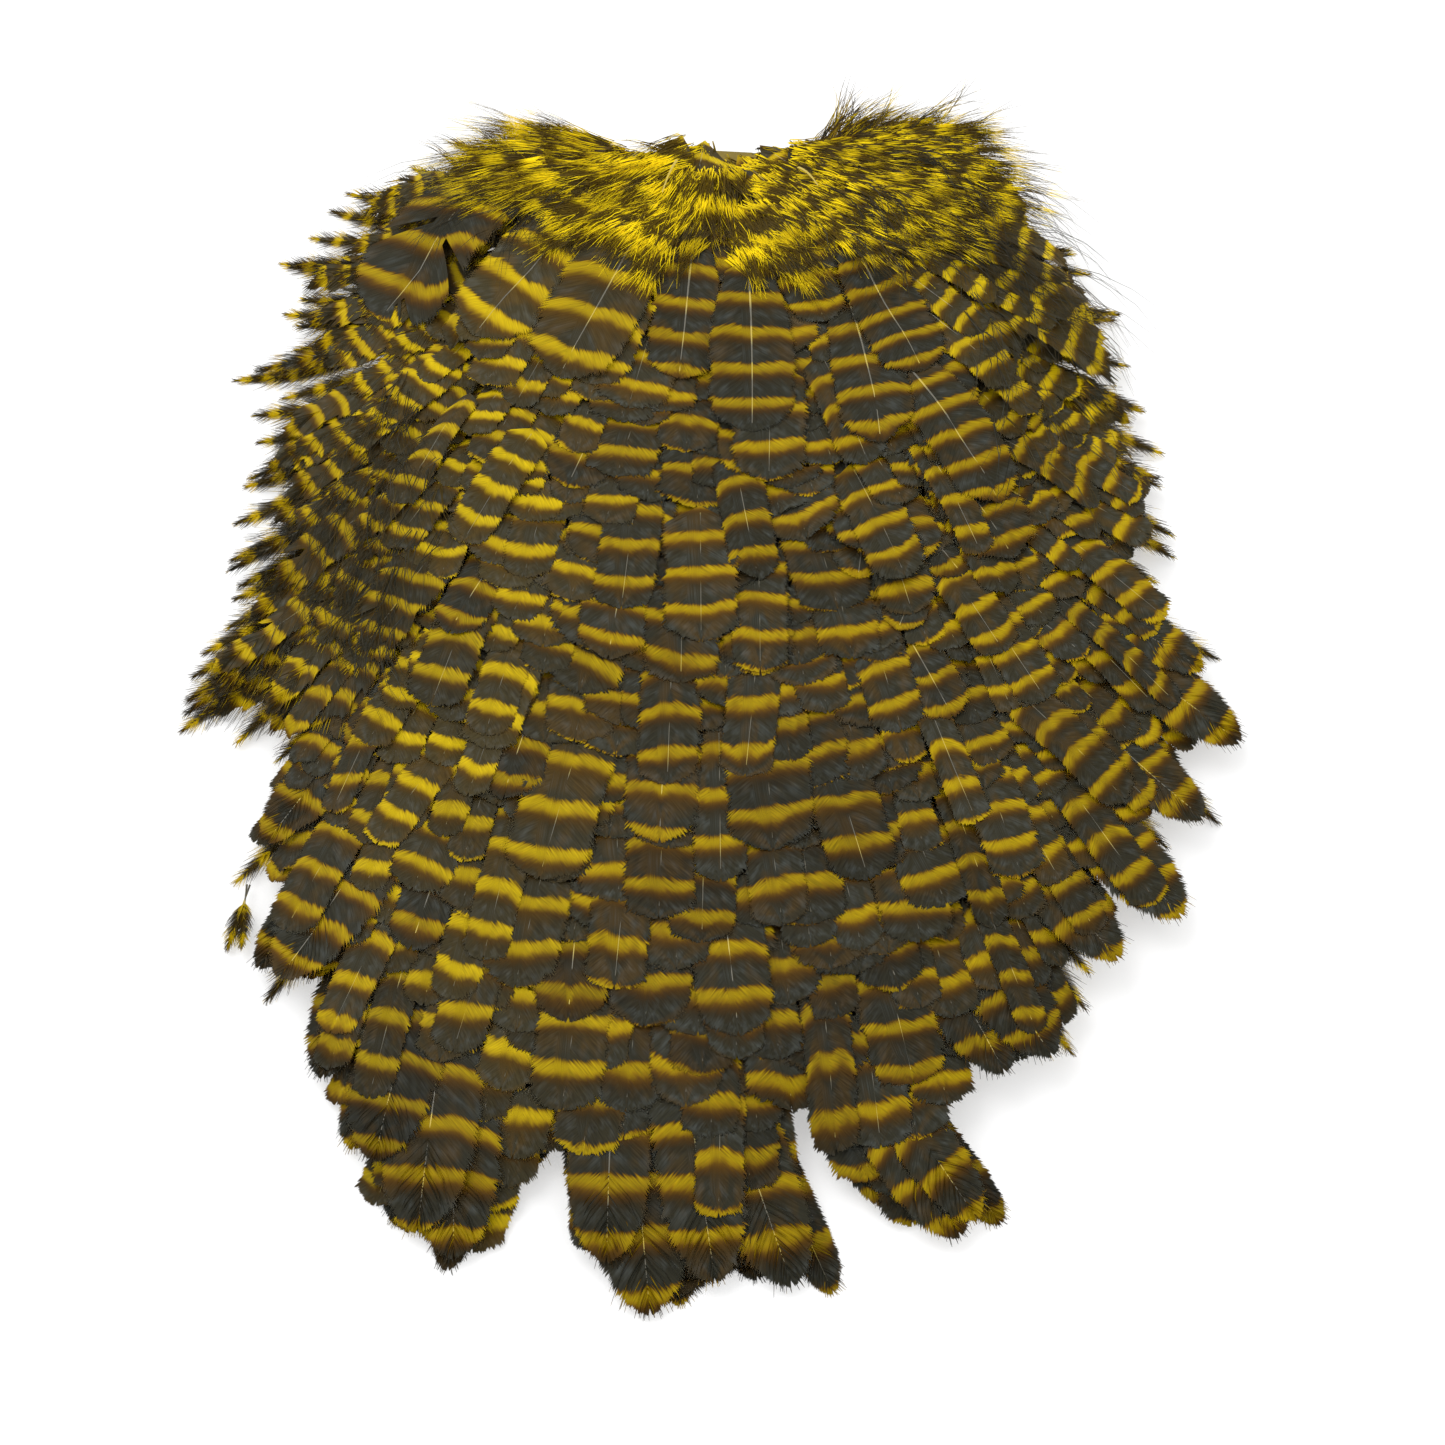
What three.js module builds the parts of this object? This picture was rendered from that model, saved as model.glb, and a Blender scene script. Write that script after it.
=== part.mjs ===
// A hen saddle hackle: a dressed patch of skin with barred feathers that overlap like roof tiles.
// Millimetres, +Z up. The neck edge of the skin is towards +Y and the tail towards -Y.
// The patch lies feather side up, with the flat underside of the skin on z = 0.
import * as THREE from "three";

// Driving dimensions
const NECK = { x: -3, y: 84 }; // middle of the neck edge, which the feathers fan out from
const SKIN_THICKNESS = 1.2;
const GAP = 0.3; // clear space between pieces that lie on each other
const RISE = 0.14; // how much a feather climbs for each millimetre towards its tip
const LAYER = 1; // height between one feather and the next that lies on it
const DROOP = { start: 0.6, depth: 8.4, power: 1.5 }; // how the outer feathers bend down to the table
const REACH = { x: 73, neck: 150, tail: 95, power: 2.6 }; // the rounded square that the outline follows
const STRETCH = 1.25; // the fan's rings are this much closer together sideways
const ROOT_BEND = 0.2; // share of a feather's length in which it comes up from the skin
const CROWN_RADIUS = 25; // how far out from the neck the coat stays nearly level

// Cross-section of a feather
const QUILL_WIDTH = 1.4;
const QUILL_THICKNESS = 0.6;
const VANE_THICKNESS = 0.36;
const SHAFT_RIDGE = 0.2; // height of the shaft above the vanes
const SHAFT_SHARE = 0.12; // half-width of the shaft's ridge as a share of the vane's
const CAMBER = 0.25; // drop from the shaft to the vane's margin
const EDGE_THICKNESS = 0.12;

// Half-width of a feather from root to tip, as [share of its length, share of its half-width]
const WEB_PROFILE = [
  [0, 0], [0.07, 0], [0.2, 0.52], [0.36, 0.8], [0.55, 0.95],
  [0.7, 1], [0.82, 0.94], [0.91, 0.75], [0.97, 0.45], [1, 0.14],
];
// A loose feather's free barbs gather in pointed locks, so its margin is notched
const LOCK_PROFILE = [
  [0, 0], [0.06, 0], [0.18, 0.6], [0.3, 0.94], [0.33, 0.74], [0.48, 1], [0.51, 0.78],
  [0.66, 0.94], [0.69, 0.68], [0.83, 0.68], [0.86, 0.42], [1, 0.06],
];

// Feathers whose tips make the outline, clockwise from the neck's left side:
// tip x, tip y, heading in degrees from the tail direction towards +X, length, width
const FLANK_LEFT = [
  [-27, 85, -117, 22, 14], [-42, 87, -119, 37, 20], [-56, 75, -111, 42, 21], [-65, 65, -102, 42, 18],
  [-65, 52, -95, 38, 18], [-70, 41, -86, 43, 16], [-68, 24, -74, 44, 20], [-69, 6, -63, 48, 21],
  [-72, -15, -50, 54, 24],
];
const HIP_LEFT = [
  [-60, -34, -42, 54, 16], [-60, -49, -37, 56, 12], [-56, -56, -31, 56, 19],
];
const TAIL = [
  [-44, -74, -12, 60, 18], [-38, -86, -6, 62, 18], [-32, -90, -2, 60, 18], [-16, -89, 3, 60, 17],
  [-9, -96, 7, 63, 19], [1, -94, 11, 60, 18], [12, -95, 20, 62, 16], [25, -87, 29, 62, 14],
  [33, -84, 33, 60, 12],
];
const HIP_RIGHT = [
  [35, -67, 29, 52, 15], [43, -65, 36, 54, 19], [51, -51, 42, 54, 18], [58, -45, 45, 56, 18],
  [64, -31, 50, 54, 16], [67, -19, 55, 56, 16], [63, -7, 59, 52, 15],
];
const FLANK_RIGHT = [
  [61, 8, 64, 48, 16], [61, 21, 70, 45, 18], [61, 35, 77, 43, 20], [60, 51, 87, 43, 18],
  [53, 63, 99, 40, 19], [45, 78, 113, 40, 20], [34, 88, 126, 35, 18], [21, 91, 130, 23, 12],
];

// Feathers that lie on them, row by row towards the neck
const RUMP = [
  [-39, -52, -16, 58, 20], [-19, -62, -3, 60, 20], [2, -64, 6, 60, 20], [22, -58, 18, 58, 20],
  [39, -36, 34, 56, 19],
];
const BACK = [
  [-48, -24, -34, 54, 19], [-28, -32, -14, 58, 20], [-8, -38, -2, 60, 20], [13, -36, 9, 58, 20],
  [30, -20, 24, 56, 19], [48, -10, 48, 52, 18],
];
const SADDLE = [
  [-36, -8, -26, 54, 19], [-15, -12, -8, 56, 20], [5, -14, 4, 56, 20], [22, -2, 18, 52, 19],
  [42, 14, 54, 46, 18],
];
const CAPE = [[-44, 20, -54, 42, 18], [-21, 14, -20, 46, 20], [4, 16, 3, 46, 19], [29, 22, 36, 42, 19]];
// Short fluffy feathers over the roots of the others
const CROWN_TUFTS = [[-32, 46, -60, 28, 20], [-5, 46, -4, 34, 24], [24, 50, 50, 28, 20]];

// How far out a place is: 1 on the outline, 0 in the middle
function reach(x, y) {
  const long = y > 0 ? REACH.neck : REACH.tail;
  return (Math.abs(x / REACH.x) ** REACH.power + Math.abs(y / long) ** REACH.power) ** (1 / REACH.power);
}

// Distance from the neck along the lie of the feathers, levelled off close to the neck
function lie(x, y) {
  return Math.hypot(STRETCH * (x - NECK.x), y - NECK.y, CROWN_RADIUS);
}

// Height that every feather's underside follows, each a constant distance above or below it
function slope(x, y) {
  const past = Math.max(0, (reach(x, y) - DROOP.start) / (1 - DROOP.start));
  return RISE * lie(x, y) - DROOP.depth * past ** DROOP.power;
}

// Direction that the coat grows in, in radians from the tail direction towards +X
function coatHeading(x, y) {
  const across = x - NECK.x;
  const fan = across < 0 ? 1.3 : 1.8;
  const crown = NECK.y - 22 * (1 - Math.exp(-((across / 22) ** 2)));
  return Math.atan2(fan * across, crown - y);
}

// Points along a feather from its root to its tip, which turns with the coat around it
function centreline(tipX, tipY, heading, length, stations) {
  const own = heading - coatHeading(tipX, tipY);
  const points = [{ x: tipX, y: tipY, heading }];
  for (let i = stations.length - 1; i > 0; i--) {
    const step = (stations[i] - stations[i - 1]) * length;
    const { x, y, heading: way } = points[0];
    const before = { x: x - step * Math.sin(way), y: y + step * Math.cos(way) };
    const turned = coatHeading(before.x, before.y) + own - way;
    const most = 0.008 * step; // a feather bends this little, in radians
    points.unshift({ ...before, heading: way + THREE.MathUtils.clamp(turned, -most, most) });
  }
  return points;
}

// A feather before it has its height: where it runs, and its width at each station
function planFeather(name, [x, y, degrees, length, width], profile) {
  const stations = profile.map(([along]) => along);
  const line = centreline(x, y, THREE.MathUtils.degToRad(degrees), length, stations);
  const halfWidths = profile.map(([, share]) => Math.max(share * width, QUILL_WIDTH) / 2);
  const place = (i, share) => ({
    x: line[i].x + share * halfWidths[i] * Math.cos(line[i].heading),
    y: line[i].y + share * halfWidths[i] * Math.sin(line[i].heading),
  });
  const left = line.map((_, i) => place(i, -1));
  const right = line.map((_, i) => place(i, 1));
  return { name, length, stations, line, place, edge: [...left, ...right.reverse()] };
}

// Which side of the line from a to b the point is on
function side(a, b, point) {
  return Math.sign((b.x - a.x) * (point.y - a.y) - (b.y - a.y) * (point.x - a.x));
}

// Whether two feathers cover some of the same ground: their margins cross
function meet(one, other) {
  return one.edge.some((a, i) => {
    const b = one.edge[(i + 1) % one.edge.length];
    return other.edge.some((c, j) => {
      const d = other.edge[(j + 1) % other.edge.length];
      return side(a, b, c) !== side(a, b, d) && side(c, d, a) !== side(c, d, b);
    });
  });
}

// Lays the feathers from the tail to the neck. Each one starts at its own root's height on the
// slope, and is lifted clear of those already under it
function lay(feathers) {
  const distance = ({ line: [root] }) => lie(root.x, root.y);
  const laid = [];
  for (const feather of [...feathers].sort((a, b) => distance(b) - distance(a))) {
    const root = feather.line[0];
    feather.own = SKIN_THICKNESS + GAP - slope(root.x, root.y);
    const under = laid.filter((other) => meet(feather, other));
    feather.height = Math.max(feather.own, ...under.map((other) => other.height + LAYER));
    laid.push(feather);
  }
  return laid;
}

// A feather's underside bends down to the skin at its root
function underside(feather, x, y, along) {
  const bend = Math.min(1, along / ROOT_BEND);
  const lift = (feather.height - feather.own) * bend ** 2 * (3 - 2 * bend);
  return slope(x, y) + feather.own + lift;
}

// Eight points a station: the top from margin to margin over the shaft's ridge, and the underside back
function featherGeometry(feather) {
  const positions = [];
  const last = feather.stations.length - 1;
  feather.stations.forEach((along, i) => {
    const quill = along < 0.1 ? 1 : 0;
    const thick = quill ? QUILL_THICKNESS : VANE_THICKNESS * (1 - 0.4 * along);
    const ridge = thick + SHAFT_RIDGE * (1 - 0.8 * along);
    const drop = quill ? -0.3 * QUILL_THICKNESS : CAMBER * (i === last ? 0.4 : 1);
    const add = (share, up) => {
      const { x, y } = feather.place(i, share);
      const { x: shaftX, y: shaftY } = feather.line[i];
      positions.push(x, y, underside(feather, shaftX, shaftY, along) + slope(x, y) - slope(shaftX, shaftY) + up);
    };
    add(-1, EDGE_THICKNESS - drop);
    add(-SHAFT_SHARE, thick);
    add(0, ridge);
    add(SHAFT_SHARE, thick);
    add(1, EDGE_THICKNESS - drop);
    add(1, -drop);
    add(0, 0);
    add(-1, -drop);
  });
  const ring = 8;
  const indices = [];
  for (let i = 0; i < last; i++) {
    for (let k = 0; k < ring; k++) {
      const a = i * ring + k;
      const b = i * ring + ((k + 1) % ring);
      indices.push(a, a + ring, b, b, a + ring, b + ring);
    }
  }
  const under = ring - 2;
  for (let k = 0; k < ring; k++) {
    const next = (k + 1) % ring;
    if (k === under || next === under) continue;
    indices.push(under, k, next);
    indices.push(last * ring + under, last * ring + next, last * ring + k);
  }
  const geometry = new THREE.BufferGeometry();
  geometry.setAttribute("position", new THREE.Float32BufferAttribute(positions, 3));
  geometry.setIndex(indices);
  geometry.computeVertexNormals();
  return geometry;
}

// The skin's edge, from the left of the neck edge round by the tail
const SKIN_EDGE = [
  [-14, 83], [-24, 72], [-31, 50], [-36, 22], [-38, -6], [-35, -26], [-23, -39], [-6, -43],
  [9, -39], [20, -27], [27, -6], [28, 20], [26, 46], [19, 68], [9, 83], [-3, 85],
];
const SKIN_STEPS = 40;

function skinGeometry() {
  const curve = new THREE.CatmullRomCurve3(SKIN_EDGE.map(([x, y]) => new THREE.Vector3(x, y, 0)), true);
  const shape = new THREE.Shape(curve.getPoints(SKIN_STEPS).slice(0, -1).map(({ x, y }) => new THREE.Vector2(x, y)));
  return new THREE.ExtrudeGeometry(shape, { depth: SKIN_THICKNESS, bevelEnabled: false });
}

const skinMaterial = new THREE.MeshStandardMaterial({ color: 0xb9a23c, roughness: 0.7, metalness: 0 });
const webMaterial = new THREE.MeshStandardMaterial({ color: 0x55491f, roughness: 0.6, metalness: 0 });
const lockMaterial = new THREE.MeshStandardMaterial({ color: 0xa38a14, roughness: 0.8, metalness: 0 });

const TRACTS = [
  { name: "flank_left", feathers: FLANK_LEFT, profile: LOCK_PROFILE, material: lockMaterial },
  { name: "hip_left", feathers: HIP_LEFT, profile: WEB_PROFILE, material: webMaterial },
  { name: "tail", feathers: TAIL, profile: WEB_PROFILE, material: webMaterial },
  { name: "hip_right", feathers: HIP_RIGHT, profile: WEB_PROFILE, material: webMaterial },
  { name: "flank_right", feathers: FLANK_RIGHT, profile: LOCK_PROFILE, material: lockMaterial },
  { name: "rump", feathers: RUMP, profile: WEB_PROFILE, material: webMaterial },
  { name: "back", feathers: BACK, profile: WEB_PROFILE, material: webMaterial },
  { name: "saddle", feathers: SADDLE, profile: WEB_PROFILE, material: webMaterial },
  { name: "cape", feathers: CAPE, profile: WEB_PROFILE, material: webMaterial },
  { name: "crown", feathers: CROWN_TUFTS, profile: LOCK_PROFILE, material: lockMaterial },
];

const patch = new THREE.Group();
const skin = new THREE.Mesh(skinGeometry(), skinMaterial);
skin.name = "skin";
patch.add(skin);

const planned = TRACTS.flatMap(({ name, feathers, profile, material }) =>
  feathers.map((feather, i) => {
    const number = String(i + 1).padStart(2, "0");
    return { ...planFeather(`${name}_feather_${number}`, feather, profile), material };
  }),
);
for (const feather of lay(planned)) {
  const mesh = new THREE.Mesh(featherGeometry(feather), feather.material);
  mesh.name = feather.name;
  patch.add(mesh);
}

// The origin is on the table, under the middle of the patch
const middle = new THREE.Box3().setFromObject(patch).getCenter(new THREE.Vector3());
patch.position.set(-middle.x, -middle.y, 0);

export default patch;
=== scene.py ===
"""A dressed hen saddle: barred feathers on a flat patch of skin, lying feather side up."""

import logging
import math
from dataclasses import dataclass, field, replace
from enum import Enum

import bmesh
import bpy
import numpy as np
from mathutils import Matrix

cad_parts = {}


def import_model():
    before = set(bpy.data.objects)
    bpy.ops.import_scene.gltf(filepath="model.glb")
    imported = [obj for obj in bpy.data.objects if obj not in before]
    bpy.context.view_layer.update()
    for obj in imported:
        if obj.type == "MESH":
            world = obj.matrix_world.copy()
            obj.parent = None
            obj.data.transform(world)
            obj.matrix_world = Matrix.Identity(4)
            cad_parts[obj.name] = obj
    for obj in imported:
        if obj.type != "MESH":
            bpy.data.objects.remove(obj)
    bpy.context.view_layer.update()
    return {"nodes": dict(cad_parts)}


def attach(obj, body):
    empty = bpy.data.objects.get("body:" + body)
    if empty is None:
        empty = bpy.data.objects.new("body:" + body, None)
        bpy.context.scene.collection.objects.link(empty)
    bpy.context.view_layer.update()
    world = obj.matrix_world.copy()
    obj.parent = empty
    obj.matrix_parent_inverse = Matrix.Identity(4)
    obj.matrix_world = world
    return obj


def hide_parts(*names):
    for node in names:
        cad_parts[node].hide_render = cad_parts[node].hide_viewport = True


LOG = logging.getLogger("hen_saddle")
MM = 0.001
SHIFT_MM = (2.38, 2.23)  # from the plan's own origin to the middle of the patch
SKIN_TOP_MM = 1.2
BAR_PITCH_MM = 7.1

Rgb = tuple[float, float, float]
Rows = tuple[tuple[float, ...], ...]

BLACK: Rgb = (0.0, 0.0, 0.0)
WHITE: Rgb = (1.0, 1.0, 1.0)


class Plumage(Enum):
    """The kinds of feather in the coat."""

    WEBBED = "webbed"
    SPLIT = "split"
    LOOSE = "loose"


@dataclass(frozen=True)
class Lie:
    """How the coat lies: the way that it grows and the height of its slope, in millimetres.

    Attributes:
        neck: Middle of the neck edge, which the feathers fan out from.
        rise: How much a feather climbs for each millimetre towards its tip.
        stretch: The fan's rings are this much closer together sideways.
        crown: How far out from the neck the coat stays nearly level.
        droop_start: Where the outer feathers start to bend down, as a share of the reach.
        droop_depth: How far they bend down at the outline.
        droop_power: How late they bend: 1 is evenly, more is later.
        reach_x: Half-width of the patch.
        reach_neck: How far it would reach past its origin on the neck side.
        reach_tail: How far it reaches on the tail side.
        reach_power: How square its outline is: 2 is an ellipse.
        fan_from: Distance from the middle where the fan starts to open more widely.
        fan_over: Distance over which it does so.
        fan_more: How much more widely it opens then, on the left and on the right.
        shoulder_drop: How far the feathers' centre drops below the neck at the sides.
        shoulder_at: Distance from the middle where it has mostly dropped.
        slim_at: Distances from the middle between which things get smaller.
        slim_bars: How much smaller the pitch of the bars gets there.
        bars_at: Distances from the neck for which the pitch of the bars is given.
        bars_mm: The pitch of the bars at each.
    """

    neck: tuple[float, float] = (-3.0, 84.0)
    rise: float = 0.16
    stretch: float = 1.25
    crown: float = 25.0
    droop_start: float = 0.6
    droop_depth: float = 9.8
    droop_power: float = 1.5
    reach_x: float = 73.0
    reach_neck: float = 150.0
    reach_tail: float = 95.0
    reach_power: float = 2.6
    fan_from: float = 40.0
    fan_over: float = 22.0
    fan_more: tuple[float, float] = (0.6, 0.75)
    shoulder_drop: float = 22.0
    shoulder_at: float = 60.0
    slim_at: tuple[float, float] = (14.0, 42.0)
    slim_bars: float = 0.8
    bars_at: tuple[float, ...] = (30.0, 60.0, 100.0, 130.0)
    bars_mm: tuple[float, ...] = (5.2, 5.6, 6.1, 7.0)

    def distance(self, x: np.ndarray, y: np.ndarray) -> np.ndarray:
        """Distance from the neck along the lie, levelled off close to the neck."""
        across = self.stretch * (x - self.neck[0])
        return np.sqrt(across**2 + (y - self.neck[1]) ** 2 + self.crown**2)

    def reach(self, x: np.ndarray, y: np.ndarray) -> np.ndarray:
        """How far out a place is: 1 on the outline, 0 in the middle.

        Args:
            x: Place.
            y: Place.

        Returns:
            The share of the way.
        """
        long = np.where(y > 0, self.reach_neck, self.reach_tail)
        total = np.abs(x / self.reach_x) ** self.reach_power + np.abs(y / long) ** self.reach_power
        return total ** (1 / self.reach_power)

    def slope(self, x: np.ndarray, y: np.ndarray) -> np.ndarray:
        """Height that every feather follows, each a constant distance above or below it."""
        past = np.clip((self.reach(x, y) - self.droop_start) / (1 - self.droop_start), 0, None)
        return self.rise * self.distance(x, y) - self.droop_depth * past**self.droop_power

    def heading(self, x: np.ndarray, y: np.ndarray) -> np.ndarray:
        """Direction of growth in radians, from the tail direction towards +X.

        Args:
            x: Place.
            y: Place.

        Returns:
            The angle.
        """
        across = x - self.neck[0]
        opened = np.clip((np.abs(across) - self.fan_from) / self.fan_over, 0, 1)
        fan = 1 + opened * np.where(across < 0, *self.fan_more)
        dropped = 1 - np.exp(-((across / self.shoulder_at) ** 6))
        return np.arctan2(fan * across, self.neck[1] - self.shoulder_drop * dropped - y)

    def from_neck(self, x: np.ndarray, y: np.ndarray) -> np.ndarray:
        """Plain distance from the neck, which the bars line up along."""
        return np.hypot(x - self.neck[0], y - self.neck[1])

    def bar_pitch(self, x: float, y: float) -> float:
        """Distance between the bars of a feather whose tip is here, shortest at the flanks."""
        usual = float(np.interp(self.from_neck(x, y), self.bars_at, self.bars_mm))
        return usual * self.slim(x, self.slim_bars)

    def slim(self, x: float, least: float) -> float:
        """How much smaller things are to the sides: from 1 in the middle to the least."""
        return float(np.interp(abs(x - self.neck[0]), self.slim_at, [1.0, least]))


@dataclass(frozen=True)
class Feather:
    """Where one feather lies and how large it is, in millimetres and degrees.

    Attributes:
        tip_x: Place of its tip.
        tip_y: Place of its tip.
        heading: Direction that it points in, from the tail direction towards +X.
        length: Length from the root to the tip.
        width: Width of its vane.
        kind: The kind of feather.
        level: How far it lies above the feathers next to it.
        vane_from: Where its barbs begin, as a share of the length.
        bars: How far its bars are off the coat's, in bars.
        glow: How much of the dye shows, partly as painted light that brightens it.
        curl: How far its end stands up, or is bent down if less than 0.
        fluff: How far its free barbs stand out, from 0 to 1.
        blunt: Length of its rounded end, as a share of the width.
        over: How far it lies over the rows above it.
        pitch: Distance between its bars, or 0 for the usual one.
    """

    tip_x: float
    tip_y: float
    heading: float
    length: float
    width: float
    kind: Plumage = Plumage.WEBBED
    level: float = 0.0
    vane_from: float = 0.22
    bars: float = 0.0
    glow: float = 0.0
    curl: float = -0.35
    fluff: float = 0.3
    blunt: float = 0.38
    over: float = 0.0
    pitch: float = 0.0


class Shaftline:
    """The curve of a feather's shaft over the skin, from its root to its tip."""

    STEPS = 40
    MOST_TURN = 0.008  # radians in a millimetre
    ROOT_MM = 0.2  # height of the shaft's root over the skin
    CLEAR_MM = 0.22  # least height over the table
    RISEN = 0.3  # share of the length over which it comes to its own level
    LEVEL_BENT = 0.6  # share of its own level that the bend at its end takes away

    def __init__(self, lie: Lie, feather: Feather) -> None:
        """Walks back from the tip, turning with the coat around it.

        Args:
            lie: How the coat lies.
            feather: The feather.
        """
        self.lie = lie
        self.feather = feather
        way = math.radians(feather.heading)
        x, y = feather.tip_x, feather.tip_y
        own = way - float(lie.heading(x, y))
        step = feather.length / self.STEPS
        walk = [(x, y, way)]
        for _ in range(self.STEPS):
            x -= step * math.sin(way)
            y += step * math.cos(way)
            turned = float(lie.heading(x, y)) + own - way
            way += min(max(turned, -self.MOST_TURN * step), self.MOST_TURN * step)
            walk.append((x, y, way))
        self.along = np.linspace(0, feather.length, self.STEPS + 1)
        self.x, self.y, self.way = np.array(walk[::-1]).T
        self.root_slope = float(lie.slope(self.x[0], self.y[0]))
        self.tip_distance = float(lie.from_neck(feather.tip_x, feather.tip_y))
        self.pitch = feather.pitch or lie.bar_pitch(feather.tip_x, feather.tip_y)

    def settled(self, usual: float, press: float) -> Feather:
        """The feather with its end bent down onto the coat around it.

        Args:
            usual: Length of the feathers that the coat is made of here.
            press: How far the end of such a feather is bent down.

        Returns:
            The feather with that bend.
        """
        x, y, _ = self.at(np.array([self.feather.length - usual]))
        usual_root = float(self.lie.slope(x[0], y[0]))
        above = self.root_slope - usual_root - self.LEVEL_BENT * self.feather.level
        return replace(self.feather, curl=above - press)

    def at(self, s: np.ndarray) -> tuple[np.ndarray, np.ndarray, np.ndarray]:
        """Where the shaft is at a distance from the root, and its heading there.

        Args:
            s: The distance.

        Returns:
            Place in x and y, and the heading in radians.
        """
        x = np.interp(s, self.along, self.x)
        y = np.interp(s, self.along, self.y)
        way = np.interp(s, self.along, self.way)
        past = np.clip(s - self.feather.length, 0, None)
        return x + past * np.sin(way), y - past * np.cos(way), way

    def place(self, s: np.ndarray, across: np.ndarray, up: np.ndarray) -> np.ndarray:
        """Points of the feather in millimetres, kept off the table.

        Args:
            s: Distance from the root along the shaft.
            across: Distance to the feather's left, seen from its tip.
            up: Height above the feather's own surface.

        Returns:
            An array of points, one in each row.
        """
        x, y, way = self.at(s)
        x = x - across * np.cos(way)
        y = y - across * np.sin(way)
        share = np.clip(s / (self.RISEN * self.feather.length), 0, 1)
        level = self.feather.level * share**2 * (3 - 2 * share)
        z = SKIN_TOP_MM + self.ROOT_MM + self.lie.slope(x, y) - self.root_slope + level + up
        return np.stack([x, y, np.maximum(z, self.CLEAR_MM)], axis=-1)

    def order(self) -> float:
        """How low the feather lies in the coat: the lowest is laid first."""
        return self.root_slope - self.feather.level - self.lie.rise * self.feather.over

    def bar_count(self, s: np.ndarray) -> np.ndarray:
        """Which bar a place on the shaft is in: a whole number where a bar starts."""
        return self.tip_distance / BAR_PITCH_MM + self.feather.bars + (s - self.feather.length) / self.pitch


class Ground:
    """The height of the coat's surface while it is being laid, on a grid over the plan."""

    HALF = 110.0  # the grid's half-width, in millimetres
    CELL = 0.5

    def __init__(self) -> None:
        """Starts on the bare table."""
        count = int(2 * self.HALF / self.CELL)
        self.height = np.zeros((count, count))

    def under(self, x: np.ndarray, y: np.ndarray) -> np.ndarray:
        """Height of what has been laid so far at each place.

        Args:
            x: Place.
            y: Place.

        Returns:
            The height in millimetres.
        """
        most = len(self.height) - 1.01
        across = np.clip((x + self.HALF) / self.CELL - 0.5, 0, most)
        along = np.clip((y + self.HALF) / self.CELL - 0.5, 0, most)
        i, j = across.astype(int), along.astype(int)
        across, along = across - i, along - j
        left = self.height[i, j] * (1 - along) + self.height[i, j + 1] * along
        right = self.height[i + 1, j] * (1 - along) + self.height[i + 1, j + 1] * along
        return left * (1 - across) + right * across

    def cover(self, points: np.ndarray) -> None:
        """Raises the ground to a cloud of points.

        Args:
            points: The points, one in each row.
        """
        most = len(self.height) - 1
        i, j = (np.clip((points[:, n] + self.HALF) / self.CELL, 0, most).astype(int) for n in (0, 1))
        np.maximum.at(self.height, (i, j), points[:, 2])


def triangulated(bm: bmesh.types.BMesh) -> tuple[np.ndarray, np.ndarray]:
    """Cuts a shape into triangles and frees it.

    Args:
        bm: The shape.

    Returns:
        Its points, and its triangles in an order that doesn't change from run to run.
    """
    bmesh.ops.triangulate(bm, faces=bm.faces[:])
    points = np.array([v.co for v in bm.verts])
    triangles = np.array([[v.index for v in f.verts] for f in bm.faces])
    bm.free()
    lowest_first = (triangles.argmin(axis=1)[:, None] + np.arange(3)) % 3
    triangles = np.take_along_axis(triangles, lowest_first, axis=1)
    return points, triangles[np.lexsort(triangles.T)]


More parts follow.
